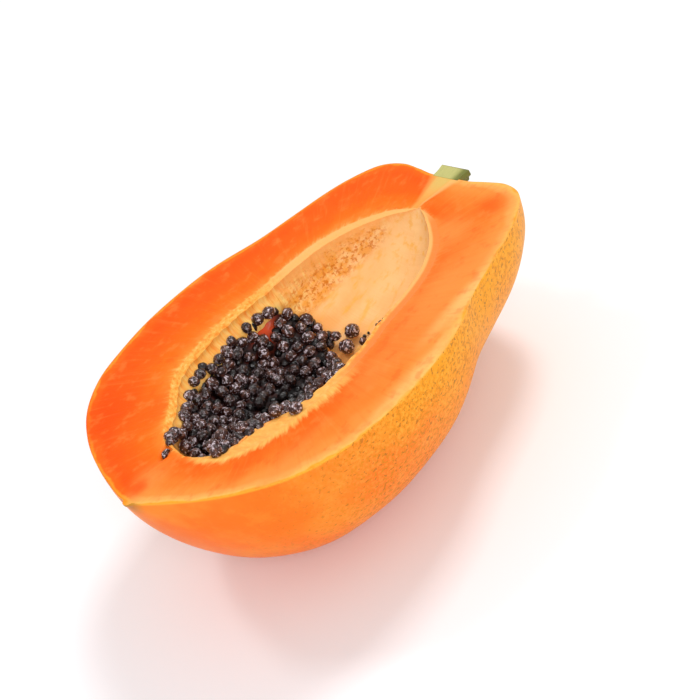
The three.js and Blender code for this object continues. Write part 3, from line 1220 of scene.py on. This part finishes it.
@dataclass
class PapayaHalf:
    """Skin and flesh of the half, grown as one piece, with the empty seed cavity."""

    form: FruitForm
    rings: int = 232
    sides: int = 192
    face_steps: int = 30
    lip_steps: int = 9
    sharp_degrees: float = 50.0
    seam_mm: float = 0.002
    rim_round: float = 0.35
    flesh_mm: float = 30.0
    lip_mm: float = 9.0
    grain_radius: float = 75.0
    slit_at: tuple[float, float] = (29.5, 5.6)
    slit_size: tuple[float, float, float] = (8.5, 1.9, 2.2)
    slit_turn: float = 18.0
    fibre_mm: Lumps = (2.4, 2.4, 12.0)
    fibre_height: float = 0.14
    fibre_span: Stretch = (0.97, 1.1, 2.25, 2.6)
    fringe_mm: Lumps = (4.5, 4.5, 30.0)
    fringe_reach: float = 0.9
    fringe_along: Stretch = (28.0, 34.0, 105.0, 130.0)
    scar_along: Stretch = (112.0, 126.0, 162.0, 170.0)
    scar_down: Stretch = (2.0, 8.0, 26.0, 44.0)
    scar_mm: Lumps = (2.6, 2.0, 2.0)
    fine_scar_mm: Lumps = (1.3, 1.1, 1.1)
    scar_height: float = 0.5
    vein_mm: Lumps = (22.0, 5.0, 5.0)
    vein_height: float = 0.25
    stalk_along: Stretch = (36.0, 50.0, 104.0, 130.0)
    stalk_down: tuple[float, float] = (13.0, 8.0)
    stalk_heights: tuple[float, float] = (3.2, 0.8)
    dent_mm: Lumps = (30.0, 22.0, 22.0)
    dent_height: float = 0.5
    face_sag: float = 0.12

    def build(self) -> bpy.types.Object:
        """Builds the half and gives it its two finishes.

        Returns:
            The finished piece.
        """
        skin = self.skin()
        self.cut_face(skin)
        half = joined([skin, self.cavity_wall()], "papaya_skin_and_flesh")
        self.close_seams(half)
        self.relieve(half)
        self.dress(half)
        return settle(half, self.form, Slot.FLESH, "papaya_half")

    def skin(self) -> bpy.types.Object:
        """Makes the outside of the half.

        Returns:
            The skin, open at the cut.
        """
        skin = half_ball("skin", self.rings, self.sides)
        along, around = stored(skin, "along"), stored(skin, "around")
        x, radius = self.form.skin_at(along)
        angle = around * math.pi
        ratio = self.form.depth_ratio
        lobe_angle = np.arctan2(ratio * np.sin(angle), np.cos(angle))
        lobed = radius * (1 + self.form.lobe_height * np.cos(self.form.lobes * lobe_angle))
        nib = self.form.nib_radius
        bulge = nib / 3 - np.sqrt(np.maximum(nib**2 - radius**2, 0))
        x = np.where((radius < nib) & (along < 0.5), np.minimum(x, bulge), x)
        drop = np.where(np.sin(angle) < TINY, self.rim_round, 0)
        z = -ratio * lobed * np.sin(angle) - drop
        set_places(skin, np.column_stack([x, lobed * np.cos(angle), z]))
        store(skin, "inward", np.zeros(len(x)))
        return skin

    def cut_face(self, skin: bpy.types.Object) -> None:
        """Carries the open rim inwards in steps, over the cut face and down the lip.

        Args:
            skin: The open skin, which gets the new faces.
        """
        bpy.ops.object.mode_set(mode="EDIT")
        bpy.ops.mesh.select_mode(type="EDGE")
        bpy.ops.mesh.select_all(action="DESELECT")
        bpy.ops.mesh.select_non_manifold(extend=False, use_wire=False, use_multi_face=False,
                                         use_non_contiguous=False, use_verts=False)
        first = self.rim_round / self.flesh_mm
        over_face = np.linspace(0, 1, self.face_steps + 1)[1:]
        down_lip = np.linspace(1, 2, self.lip_steps + 1)[1:]
        for inward in (first, *over_face, *down_lip):
            bpy.ops.mesh.extrude_edges_indiv()
            bpy.ops.object.mode_set(mode="OBJECT")
            fresh = selected_vertices(skin)
            at, depth = places(skin), stored(skin, "inward")
            along, around = stored(skin, "along")[fresh], stored(skin, "around")[fresh]
            at[fresh] = self.cut_points(along, np.where(around < 0.5, 1, -1), inward)
            depth[fresh] = inward
            set_places(skin, at)
            store(skin, "inward", depth)
            bpy.ops.object.mode_set(mode="EDIT")
        bpy.ops.object.mode_set(mode="OBJECT")

    def cut_points(self, along: np.ndarray, side: np.ndarray, inward: float) -> np.ndarray:
        """Finds points of the cut face or the lip.

        Args:
            along: Shares of the outline from tip to stem.
            side: 1 on the far side and -1 on the near one.
            inward: 0 at the skin, 1 at the cavity's mouth and 2 at the lip's inner edge.

        Returns:
            Rows of x, y and z.
        """
        form = self.form
        skin_x, skin_radius = form.skin_at(along)
        mouth_x, mouth_radius = form.mouth_at(along)
        skin_y = side * skin_radius * (1 + side * form.lobe_height)
        mouth_y = form.mouth_middle(mouth_x) + side * mouth_radius
        share = min(inward, 1)
        x = skin_x + (mouth_x - skin_x) * share
        y = skin_y + (mouth_y - skin_y) * share
        far, near = form.lip_widths(mouth_x)
        inset = np.where(side > 0, far, near) * max(inward - 1, 0)
        inset = np.minimum(inset, mouth_radius)
        return np.column_stack([x, y - side * inset, -form.lip_drop(mouth_radius, inset)])

    def cavity_wall(self) -> bpy.types.Object:
        """Makes the wall of the cavity, whose rim meets the lip's inner edge.

        Returns:
            The open wall.
        """
        form = self.form
        wall = half_ball("wall", self.rings, self.sides)
        along, around = stored(wall, "along"), stored(wall, "around")
        x, mouth_radius = form.mouth_at(along)
        far, near = form.lip_widths(x)
        radius, middle = form.wall_section(x)
        deep = np.maximum(form.depth_ratio * radius, TINY)
        far_start = np.arcsin(np.clip(form.lip_drop(mouth_radius, far) / deep, 0, 1))
        near_start = np.arcsin(np.clip(form.lip_drop(mouth_radius, near) / deep, 0, 1))
        angle = far_start + (math.pi - far_start - near_start) * around
        y, z = middle + radius * np.cos(angle), -form.depth_ratio * radius * np.sin(angle)
        points = np.column_stack([x, y, z])
        on_rim = (around < TINY) | (around > 1 - TINY)
        side = np.where(around < 0.5, 1, -1)
        points[on_rim] = self.cut_points(along[on_rim], side[on_rim], 2)
        set_places(wall, points)
        store(wall, "inward", 2 + np.sin(around * math.pi))
        return wall

    def close_seams(self, half: bpy.types.Object) -> None:
        """Merges the shared rims and turns all faces outwards.

        Args:
            half: The joined skin, cut face and wall.
        """
        make_active(half)
        bpy.ops.object.mode_set(mode="EDIT")
        bpy.ops.mesh.select_mode(type="VERT")
        bpy.ops.mesh.select_all(action="SELECT")
        bpy.ops.mesh.remove_doubles(threshold=self.seam_mm)
        bpy.ops.mesh.normals_make_consistent(inside=False)
        bpy.ops.object.mode_set(mode="OBJECT")

    def relieve(self, half: bpy.types.Object) -> None:
        """Presses the slit, the ragged lip, the seed scars and soft dents into the surface.

        Args:
            half: The closed half, in the fruit's axes.
        """
        at = places(half)
        inward, around = stored(half, "inward"), stored(half, "around")
        side = np.where(around < 0.5, 1, -1)
        circle = math.pi * stored(half, "along")
        # Round the rim, places are counted on a circle of about its length
        on_circle = self.grain_radius * np.column_stack([np.cos(circle), side * np.sin(circle)])
        fibre_place = np.column_stack([on_circle, inward * self.lip_mm])
        fibres = rough(fibre_place, self.fibre_mm)
        ragged = rough(fibre_place, self.fringe_mm, 7.3)
        soft = rough(at, self.dent_mm, 1.7)
        slit = self.slit_depth(at, inward)
        on_wall = rise(inward, 2.02, 2.12)
        scars = on_wall * self.scar_share(at, around * 180)
        store(half, "scars", scars)
        store(half, "grain", np.column_stack([on_circle, inward * self.flesh_mm]))
        lift = self.wall_lift(at, around * 180, scars, on_wall, ragged)
        at += self.towards_middle(at) * lift[:, None]
        below_rim = rise(-at[:, 2], 0, 12) * (inward <= 0)
        outward = np.column_stack([np.zeros(len(at)), at[:, 1:]])
        outward /= np.maximum(np.linalg.norm(outward, axis=1), TINY)[:, None]
        at += outward * (below_rim * self.dent_height * soft)[:, None]
        on_lip = plateau(inward, *self.fibre_span)
        on_face = (inward > 0) & (inward <= 1)
        at[:, 2] += self.fibre_height * fibres * on_lip - slit - self.face_sag * (1 + soft) * on_face
        lip_edge = bell(inward, 2.0, 0.5) * plateau(at[:, 0], *self.fringe_along)
        at[:, 1] += side * self.fringe_reach * ragged * lip_edge * rise(at[:, 2], -8, -2)
        set_places(half, at)

    def slit_depth(self, points: np.ndarray, inward: np.ndarray) -> np.ndarray:
        """Gives how deep the slit at the cavity's tip end is pressed in.

        Args:
            points: Rows of x, y and z.
            inward: 0 at the skin, 1 at the cavity's mouth and 2 at the lip's inner edge.

        Returns:
            Depths, 0 outside the slit.
        """
        turn = math.radians(self.slit_turn)
        length, width, depth = self.slit_size
        from_x, from_y = points[:, 0] - self.slit_at[0], points[:, 1] - self.slit_at[1]
        run = from_x * math.cos(turn) + from_y * math.sin(turn)
        across = from_y * math.cos(turn) - from_x * math.sin(turn)
        inside = np.maximum(1 - (run / length) ** 2 - (across / width) ** 2, 0)
        on_cut = (inward > 0) & (inward <= 1.3)
        return np.where(on_cut, depth * np.sqrt(inside), 0)

    def scar_share(self, points: np.ndarray, degrees: np.ndarray) -> np.ndarray:
        """Gives how strongly seed scars mark the wall under the far lip.

        Args:
            points: Rows of x, y and z.
            degrees: Angles from the far rim at 0 under to the near rim at 180.

        Returns:
            Shares from 0 to 1.
        """
        return plateau(points[:, 0], *self.scar_along) * plateau(degrees, *self.scar_down)

    def wall_lift(
        self,
        points: np.ndarray,
        degrees: np.ndarray,
        scars: np.ndarray,
        on_wall: np.ndarray,
        ragged: np.ndarray,
    ) -> np.ndarray:
        """Gives how far scars, veins and seed stalks stand out from the cavity's wall.

        Args:
            points: Rows of x, y and z.
            degrees: Angles from the far rim at 0 under to the near rim at 180.
            scars: How strongly seed scars mark the surface.
            on_wall: 1 on the wall and 0 off it.
            ragged: Noise that runs down the wall in stripes.

        Returns:
            Distances towards the cavity's middle.
        """
        pitted = rough(points, self.scar_mm, 3.1) + 0.5 * rough(points, self.fine_scar_mm, 9.7)
        veins = rough(points, self.vein_mm, 5.5)
        steady, striped = self.stalk_heights
        stalks = plateau(points[:, 0], *self.stalk_along) * bell(degrees, *self.stalk_down)
        stalks = on_wall * stalks * (points[:, 2] < 0) * (steady + striped * ragged)
        return self.scar_height * scars * pitted + self.vein_height * on_wall * veins + stalks

    def towards_middle(self, points: np.ndarray) -> np.ndarray:
        """Gives directions from the wall towards the cavity's middle line.

        Args:
            points: Rows of x, y and z.

        Returns:
            Unit rows.
        """
        _, middle = self.form.wall_section(points[:, 0])
        inwards = np.column_stack([np.zeros(len(points)), middle - points[:, 1], -points[:, 2]])
        return inwards / np.maximum(np.linalg.norm(inwards, axis=1), TINY)[:, None]

    def dress(self, half: bpy.types.Object) -> None:
        """Gives skin and flesh their materials and smooths all but the cut's edge.

        Args:
            half: The finished mesh.
        """
        half.data.materials.clear()
        half.data.materials.append(PapayaSkin().make())
        half.data.materials.append(PapayaFlesh().make())
        inward = stored(half, "inward")
        corners = np.zeros(len(half.data.loops), np.int64)
        half.data.loops.foreach_get("vertex_index", corners)
        starts = np.zeros(len(half.data.polygons), np.int64)
        half.data.polygons.foreach_get("loop_start", starts)
        deepest = np.maximum.reduceat(inward[corners], starts)
        half.data.polygons.foreach_set("material_index", (deepest > 0).astype(np.int32))
        make_active(half)
        bpy.ops.object.shade_smooth_by_angle(angle=math.radians(self.sharp_degrees))


@dataclass(frozen=True)
class HeapForm:
    """Form of the heap of seeds that lines the cavity's wall. Millimetres and degrees."""

    start: float = 36.0
    end: float = 125.0
    taper: float = 14.0
    thickness: float = 3.1
    sink: float = 1.4
    far_angle: float = 9.0
    far_drawn_in: float = 49.0
    far_stretch: Span = (108.0, 126.0)
    near_angle: float = 177.0
    near_drawn_in: float = 69.0
    near_stretch: Span = (86.0, 120.0)
    mound: float = 5.0
    mound_angles: Stretch = (75.0, 110.0, 150.0, 176.0)
    mound_stretch: Span = (40.0, 60.0)
    floor: float = 3.5
    floor_angles: Stretch = (18.0, 40.0, 60.0, 85.0)
    pit: float = 1.2
    pit_along: tuple[float, float] = (98.0, 13.0)
    pit_angles: tuple[float, float] = (46.0, 15.0)

    def angles(self, x: np.ndarray | float) -> tuple[np.ndarray, np.ndarray]:
        """Gives the angles between which seeds cover the wall at x."""
        far = self.far_angle + (self.far_drawn_in - self.far_angle) * rise(x, *self.far_stretch)
        near = self.near_angle + (self.near_drawn_in - self.near_angle) * rise(x, *self.near_stretch)
        return far, near

    def depth(self, x: np.ndarray | float, degrees: np.ndarray | float) -> np.ndarray | float:
        """Gives how far the middles of the seeds stand in front of the wall."""
        mound = plateau(degrees, *self.mound_angles) * rise(x, *self.mound_stretch)
        pit = bell(x, *self.pit_along) * bell(degrees, *self.pit_angles)
        floor = plateau(degrees, *self.floor_angles)
        ends = plateau(x, self.start, self.start + self.taper, self.end - self.taper, self.end)
        return self.thickness + ends * (
            self.mound * mound + self.floor * floor * (1 - pit) - self.pit * pit
        )


class SeedSpot(NamedTuple):
    """Middle, radius in millimetres and shade of a seed, from 0 for dark to 1 for light; the shade is
    partly a random tone and partly painted shade and painted light.
    """

    place: np.ndarray
    radius: float
    shade: float


@dataclass(frozen=True)
class SeedMould:
    """A wrinkled seed of radius 1 about the origin, from which copies are made."""

    squash: tuple[float, float, float] = (1.1, 0.98, 0.92)
    wrinkle_size: Lumps = (0.75, 0.75, 0.75)
    wrinkle_height: float = 0.16
    fold_size: Lumps = (0.33, 0.33, 0.33)
    fold_height: float = 0.08
    point_from: Span = (0.6, 1.15)
    point_height: float = 0.08

    def make(self, name: str, detail: int, number: int) -> bpy.types.Object:
        """Models the seed.

        Args:
            name: Name of the object.
            detail: Subdivisions of the ball that it starts as.
            number: Gives another seed for each number.

        Returns:
            The seed.
        """
        deselect_all()
        bpy.ops.mesh.primitive_ico_sphere_add(subdivisions=detail, radius=1)
        seed = bpy.context.object
        seed.name = name
        at = places(seed)
        wrinkles = rough(at, self.wrinkle_size, number * 5.3) * self.wrinkle_height
        folds = rough(at, self.fold_size, number * 3.1) * self.fold_height
        at *= (1 + wrinkles + folds)[:, None] * np.array(self.squash)
        at[:, 0] += self.point_height * rise(at[:, 0], *self.point_from)
        set_places(seed, at)
        bpy.ops.object.shade_smooth()
        return seed

    def copied(self, mould: bpy.types.Object, spot: SeedSpot, chance: random.Random) -> bpy.types.Object:
        """Copies a seed to its own place, size and turn.

        Args:
            mould: The seed to copy.
            spot: Place, radius and shade of the copy.
            chance: Source of the turn.

        Returns:
            The copy.
        """
        copy = mould.copy()
        copy.data = mould.data.copy()
        bpy.context.scene.collection.objects.link(copy)
        axis = Vector((chance.uniform(-1, 1), chance.uniform(-1, 1), chance.uniform(-1, 1)))
        turn = Matrix.Rotation(chance.uniform(0, 2 * math.pi), 3, axis.normalized())
        at = places(copy) @ np.array(turn).T * spot.radius + spot.place
        set_places(copy, at)
        store(copy, "shade", np.full(len(at), spot.shade))
        return copy


@dataclass(frozen=True)
class SeedLayers:
    """Places of the seeds: an upper and a lower layer, and those that lie by themselves.

    Places and radii are in millimetres.
    """

    form: FruitForm
    heap: HeapForm
    seed_radius: float = 2.5
    radius_range: tuple[float, float] = (0.88, 1.12)
    spacing: float = 4.35
    under_spacing: float = 3.6
    upper_lift: float = 0.2
    under_lift: float = -2.0
    unevenness: float = 1.2
    sunk: float = 0.5
    upper_tries: int = 9000
    under_tries: int = 6000
    highest: float = 0.8
    bare_spot: tuple[float, float, float] = (104.0, 26.8, -11.0)
    bare_reach: float = 4.0
    shades: tuple[float, float] = (0.35, 1.0)
    # Painted shade: the lower layer is kept dark, as it lies in the upper layer's shadow
    under_painted_shades: tuple[float, float] = (0.0, 0.3)
    # Painted shade: seeds round the heap's deep middle are darkened, as the pit there lies in shadow
    painted_shade_spot: tuple[float, float] = (88.0, 6.0)
    painted_shade_reach: tuple[float, float] = (15.0, 14.0)
    painted_shade_strength: float = 0.8
    # Painted light: lower seeds by the near lip are lightened, as they catch the light there
    lit_across: Span = (-26.0, -12.0)
    near_lip_painted_light: float = 0.5
    shred_shade: float = 0.2
    slit_height: float = -0.3
    slit_shade: float = 0.6
    lip_height: float = 0.5
    lip_shade: float = 0.8
    # Each with x, degrees round the wall, distance in from it, and radius
    shreds: tuple[tuple[float, float, float, float], ...] = (
        (130, 86, 0.5, 0.8), (132, 86.9, 0.5, 0.6), (136.6, 89.2, 0.5, 0.7), (138.2, 90.6, 0.5, 0.95),
        (139.9, 92.1, 0.5, 0.8), (112, 175, 0.4, 0.6), (104, 172, 0.4, 0.7),
    )
    # Each with x, y and radius
    slit_seeds: tuple[tuple[float, float, float], ...] = (
        (24.3, 3.5, 0.9), (25.6, 4.2, 1.3), (27, 4.5, 1.0), (31.6, 6.9, 1.9), (33.6, 8.1, 2.6),
        (36, 8.6, 2.4),
    )
    lip_seeds: tuple[tuple[float, float, float], ...] = (
        (62.2, -30, 2.6), (58.7, -23.1, 2.7), (46.7, -16.3, 2.6), (40.8, -11.5, 2.7), (35, -12.5, 2.7),
        (33.2, -15.6, 2.5),
    )

    def spots(self, chance: random.Random) -> list[SeedSpot]:
        """Lists all seeds that are joined to the heap.

        Args:
            chance: Source of the draws.

        Returns:
            One spot for each seed.
        """
        upper = self.scattered([], self.spacing, self.upper_lift, self.upper_tries, chance)
        lower = self.scattered(upper, self.under_spacing, self.under_lift, self.under_tries, chance)
        log.info("seeds: %d in the upper layer, %d in the lower one", len(upper), len(lower))
        listed = [self.upper_spot(place, chance) for place in upper]
        listed += [self.lower_spot(place, chance) for place in lower]
        for x, degrees, inset, radius in self.shreds:
            listed.append(SeedSpot(self.form.wall_point(x, degrees, inset), radius, self.shred_shade))
        for x, y, radius in self.slit_seeds:
            listed.append(SeedSpot(np.array([x, y, self.slit_height]), radius, self.slit_shade))
        for x, y, radius in self.lip_seeds:
            listed.append(SeedSpot(np.array([x, y, self.lip_height]), radius, self.lip_shade))
        return listed

    def scattered(
        self, taken: list[np.ndarray], spacing: float, lift: float, tries: int, chance: random.Random
    ) -> list[np.ndarray]:
        """Scatters places over the heap, none nearer to another than the spacing.

        Args:
            taken: Places that hold a seed already.
            spacing: Least distance between two places.
            lift: Distance of the places in front of the heap's own depth.
            tries: Number of places that are tried.
            chance: Source of the places.

        Returns:
            The new places that found room.
        """
        draws = np.array([[chance.random() for _ in range(3)] for _ in range(tries)])
        x = self.heap.start - 1 + draws[:, 0] * (self.heap.end - self.heap.start - 2)
        far, near = self.heap.angles(x)
        degrees = far + draws[:, 1] * (near - far)
        inset = self.heap.depth(x, degrees) + lift + self.unevenness * draws[:, 2] - self.sunk
        found = list(taken)
        for place in self.form.wall_points(x, degrees, inset):
            if place[2] > self.highest or math.dist(place, self.bare_spot) < self.bare_reach:
                continue
            if not found or np.min(np.sum((np.array(found) - place) ** 2, axis=1)) > spacing**2:
                found.append(place)
        return found[len(taken):]

    def upper_spot(self, place: np.ndarray, chance: random.Random) -> SeedSpot:
        """Gives a seed of the upper layer its radius and shade.

        Args:
            place: Middle of the seed.
            chance: Source of the draws.

        Returns:
            The seed's spot, darkened by painted shade in the middle of the heap, where the pit lies in
            shadow.
        """
        (dark_x, dark_y), (reach_x, reach_y) = self.painted_shade_spot, self.painted_shade_reach
        # Painted shade on the seeds round the shadowed pit
        dark = bell(place[0], dark_x, reach_x) * bell(place[1], dark_y, reach_y)
        shade = chance.uniform(*self.shades) * (1 - self.painted_shade_strength * dark)
        return SeedSpot(place, self.seed_radius * chance.uniform(*self.radius_range), shade)

    def lower_spot(self, place: np.ndarray, chance: random.Random) -> SeedSpot:
        """Gives a seed of the lower layer its radius and shade.

        Args:
            place: Middle of the seed.
            chance: Source of the draws.

        Returns:
            The seed's spot, kept dark as painted shade under the upper layer, and lightened by painted
            light by the near lip.
        """
        # Painted light by the near lip over the lower layer's painted shade
        lit = self.near_lip_painted_light * (1 - rise(place[1], *self.lit_across))
        shade = chance.uniform(*self.under_painted_shades) + lit
        return SeedSpot(place, self.seed_radius * self.radius_range[0], shade)


@dataclass(frozen=True)
class TissueSheet:
    """Tissue under the seeds, which thins out onto the wall at its edges. Millimetres.

    Its ends, sides and pale edges are shares of its length and width.
    """

    form: FruitForm
    heap: HeapForm
    steps: tuple[int, int] = (90, 80)
    thickness: float = 0.8
    overlap: float = 3.0
    ends: Stretch = (0.0, 0.08, 0.92, 1.0)
    sides: Stretch = (0.0, 0.06, 0.94, 1.0)
    pale_edges: Stretch = (0.0, 0.1, 0.9, 1.0)
    edge_sink: float = 0.4
    lump_mm: Lumps = (4.0, 4.0, 4.0)
    lump_height: float = 0.7

    def make(self) -> bpy.types.Object:
        """Makes the tissue.

        Returns:
            The tissue, a closed sheet.
        """
        deselect_all()
        columns, rows = self.steps
        bpy.ops.mesh.primitive_grid_add(x_subdivisions=columns, y_subdivisions=rows, size=2)
        sheet = bpy.context.object
        at = places(sheet)
        u, v = (at[:, 0] + 1) / 2, (at[:, 1] + 1) / 2
        x = self.heap.start - self.overlap + u * (self.heap.end - self.heap.start)
        far, near = self.heap.angles(x)
        degrees = far + (near - far) * v
        edge = plateau(u, *self.ends) * plateau(v, *self.sides)
        depth = self.heap.depth(x, degrees) - self.heap.sink
        lumps = rough(self.form.wall_points(x, degrees, depth), self.lump_mm, 2.2)
        # The edges of the sheet end below the wall's surface
        inset = edge * (depth + self.edge_sink + self.lump_height * lumps) - self.edge_sink
        set_places(sheet, self.form.wall_points(x, degrees, inset))
        pale = 1 - plateau(u, *self.pale_edges) * plateau(v, *self.pale_edges)
        store(sheet, "shade", np.clip(pale, 0, 1))
        thick = sheet.modifiers.new("thick", "SOLIDIFY")
        thick.thickness = self.thickness
        thick.offset = 0
        make_active(sheet)
        bpy.ops.object.modifier_apply(modifier="thick")
        bpy.ops.object.mode_set(mode="EDIT")
        bpy.ops.mesh.select_all(action="SELECT")
        bpy.ops.mesh.normals_make_consistent(inside=False)
        bpy.ops.object.mode_set(mode="OBJECT")
        bpy.ops.object.shade_smooth()
        return sheet


@dataclass
class SeedHeap:
    """The heap of seeds on its tissue, and the seeds that have slipped away. Millimetres."""

    form: FruitForm
    heap: HeapForm
    mould: SeedMould
    draw: int = 11
    variants: int = 8
    detail: int = 2
    loose_detail: int = 4
    first_loose: int = 20
    # Each with x, degrees round the wall, distance in from it, and radius
    loose_seeds: tuple[tuple[float, float, float, float], ...] = (
        (128, 77, 3.3, 3.1), (120.4, 84, 3.3, 3), (126, 92.4, 2, 1.6),
    )

    def build(self) -> list[bpy.types.Object]:
        """Builds the heap and the loose seeds.

        Returns:
            The finished pieces.
        """
        chance = random.Random(self.draw)
        skin, tissue_look = SeedSkin().make(), SeedTissue().make()
        moulds = [self.mould.make(f"seed_mould_{i}", self.detail, i) for i in range(self.variants)]
        spots = SeedLayers(self.form, self.heap).spots(chance)
        copies = [self.mould.copied(chance.choice(moulds), spot, chance) for spot in spots]
        for mould in moulds:
            bpy.data.objects.remove(mould)
        for copy in copies:
            copy.data.materials.append(skin)
        heap = joined(copies, "papaya_seeds")
        tissue = TissueSheet(self.form, self.heap).make()
        tissue.data.materials.append(tissue_look)
        heap = joined([heap, tissue], "papaya_seeds")
        pieces = [settle(heap, self.form, Slot.SEED, "seeds")]
        for number in range(1, len(self.loose_seeds) + 1):
            pieces.append(self.loose_seed(number, skin, chance))
        return pieces

    def loose_seed(
        self, number: int, skin: bpy.types.Material, chance: random.Random
    ) -> bpy.types.Object:
        """Builds a seed that lies by itself on the bare wall.

        Args:
            number: Its number, from 1.
            skin: Its finish.
            chance: Source of its turn.

        Returns:
            The finished piece.
        """
        x, degrees, inset, radius = self.loose_seeds[number - 1]
        mould = self.mould.make(f"seed_mould_loose_{number}", self.loose_detail, number + self.first_loose)
        spot = SeedSpot(self.form.wall_point(x, degrees, inset), radius, 1.0)
        seed = self.mould.copied(mould, spot, chance)
        seed.name = f"papaya_seed_loose_{number}"
        seed.data.materials.append(skin)
        bpy.data.objects.remove(mould)
        return settle(seed, self.form, Slot.SEED, f"seed_loose_{number}")


@dataclass
class StemStub:
    """Half of the cut stem in its hollow at the stem end. Millimetres."""

    form: FruitForm
    start: float = 196.2
    end: float = 203.4
    middle: float = 1.5
    radius: float = 6.3
    end_radius: float = 6.9
    sides: int = 72
    cuts: int = 3
    corner_inset: float = 0.06
    sharp_degrees: float = 45.0
    seam_mm: float = 0.01
    ribs: int = 11
    rib_height: float = 0.3
    fray: float = 0.35
    fray_mm: Lumps = (3.0, 1.1, 1.1)

    def build(self) -> bpy.types.Object:
        """Builds the stub and its fibrous end.

        Returns:
            The finished piece.
        """
        deselect_all()
        bpy.ops.mesh.primitive_cylinder_add(
            vertices=self.sides, radius=1, depth=1, rotation=(0, math.pi / 2, 0)
        )
        stub = bpy.context.object
        bpy.ops.object.transform_apply(location=False, rotation=True, scale=False)
        bpy.ops.object.mode_set(mode="EDIT")
        bpy.ops.mesh.select_mode(type="FACE")
        bpy.ops.mesh.select_all(action="SELECT")
        bpy.ops.mesh.bisect(plane_co=(0, 0, 0), plane_no=(0, 0, 1), clear_outer=True, use_fill=True)
        bpy.ops.mesh.select_all(action="SELECT")
        bpy.ops.mesh.inset(thickness=self.corner_inset, use_individual=True)
        bpy.ops.mesh.select_all(action="SELECT")
        bpy.ops.mesh.quads_convert_to_tris()
        bpy.ops.mesh.subdivide(number_cuts=self.cuts)
        bpy.ops.object.mode_set(mode="OBJECT")
        at = places(stub)
        share = at[:, 0] + 0.5
        radius = self.radius + (self.end_radius - self.radius) * rise(share, 0.4, 1)
        angle = np.arctan2(at[:, 2], at[:, 1])
        reach = np.hypot(at[:, 1], at[:, 2])
        ribs = self.rib_height * np.cos(self.ribs * angle) * rise(reach, 0.7, 1)
        x = self.start + share * (self.end - self.start)
        y, z = self.middle + at[:, 1] * (radius + ribs), at[:, 2] * (radius + ribs)
        points = np.column_stack([x, y, z])
        frayed = rough(points, self.fray_mm, 4.4)
        points[:, 0] += np.where(share > 0.99, self.fray * frayed - self.fray, 0)
        set_places(stub, points)
        stub.name = "papaya_stem_stub"
        stub.data.materials.clear()
        stub.data.materials.append(StemSkin().make())
        make_active(stub)
        bpy.ops.object.mode_set(mode="EDIT")
        bpy.ops.mesh.select_all(action="SELECT")
        bpy.ops.mesh.remove_doubles(threshold=self.seam_mm)
        bpy.ops.mesh.normals_make_consistent(inside=False)
        bpy.ops.object.mode_set(mode="OBJECT")
        bpy.ops.object.shade_smooth_by_angle(angle=math.radians(self.sharp_degrees))
        return settle(stub, self.form, Slot.STEM, "stem_stub")


class Softbox(NamedTuple):
    """A square soft light, its direction from the fruit, its side in metres and its watts."""

    name: str
    direction: tuple[float, float, float]
    size: float
    power: float


@dataclass
class Studio:
    """Pale floor, soft lights and the camera.

    The camera's eye is in millimetres in the fruit's axes, and its look and up are directions
    there. Lens and sensor are in millimetres, all other lengths in metres.
    """

    form: FruitForm
    eye: tuple[float, float, float] = (-351.13, -601.26, 519.16)
    look: tuple[float, float, float] = (0.500974, 0.641152, -0.581335)
    up: tuple[float, float, float] = (0.621242, 0.201260, 0.757333)
    lens: float = 125.06
    sensor: float = 36.0
    nearest: float = 0.01
    floor_size: float = 8.0
    world_strength: float = 0.58
    light_distance: float = 1.6
    softboxes: tuple[Softbox, ...] = (
        Softbox("key_softbox", (0.5, 0.06, 0.86), 0.4, 8.6),
        Softbox("side_softbox", (-0.1, 0.5, 0.86), 0.25, 3.4),
        Softbox("fill_softbox", (-0.45, -0.75, 0.55), 0.7, 9.6),
    )

    def build(self) -> None:
        """Sets up floor, light and camera."""
        self.floor()
        self.sky()
        for softbox in self.softboxes:
            self.hang(softbox)
        self.camera()

    def floor(self) -> None:
        """Lays the pale floor."""
        deselect_all()
        bpy.ops.mesh.primitive_plane_add(size=self.floor_size, location=(0, 0, 0))
        floor = bpy.context.object
        floor.name = "studio_floor"
        floor.data.materials.append(MattPaper().make())

    def sky(self) -> None:
        """Fills the room with even white light."""
        world = bpy.data.worlds.new("studio_room")
        bpy.context.scene.world = world
        world.use_nodes = True
        background = world.node_tree.nodes["Background"]
        background.inputs["Color"].default_value = (1, 1, 1, 1)
        background.inputs["Strength"].default_value = self.world_strength

    def hang(self, softbox: Softbox) -> None:
        """Hangs a softbox so that it faces the fruit.

        Args:
            softbox: The softbox.
        """
        light = bpy.data.lights.new(softbox.name, "AREA")
        light.size = softbox.size
        light.energy = softbox.power
        lamp = bpy.data.objects.new(softbox.name, light)
        bpy.context.scene.collection.objects.link(lamp)
        towards = Vector(softbox.direction).normalized()
        lamp.location = towards * self.light_distance
        lamp.rotation_euler = towards.to_track_quat("Z", "Y").to_euler()

    def camera(self) -> None:
        """Places the camera where the photograph was taken from."""
        camera = bpy.data.cameras.new("camera")
        camera.lens = self.lens
        camera.sensor_width = self.sensor
        camera.clip_start = self.nearest
        holder = bpy.data.objects.new("camera", camera)
        bpy.context.scene.collection.objects.link(holder)
        back, up = -Vector(self.look), Vector(self.up)
        right = up.cross(back)
        turn = self.form.turn() @ Matrix((right, up, back)).transposed()
        holder.matrix_world = turn.to_4x4()
        holder.location = Vector(self.form.to_row(np.array([self.eye]))[0])
        bpy.context.scene.camera = holder
        bpy.context.scene.view_settings.view_transform = "Standard"


def main() -> None:
    """Builds every piece in order."""
    logging.basicConfig(level=logging.INFO, format="%(message)s")
    form = FruitForm()
    PapayaHalf(form).build()
    StemStub(form).build()
    SeedHeap(form, HeapForm(), SeedMould()).build()
    Studio(form).build()


if __name__ == "__main__":
    main()
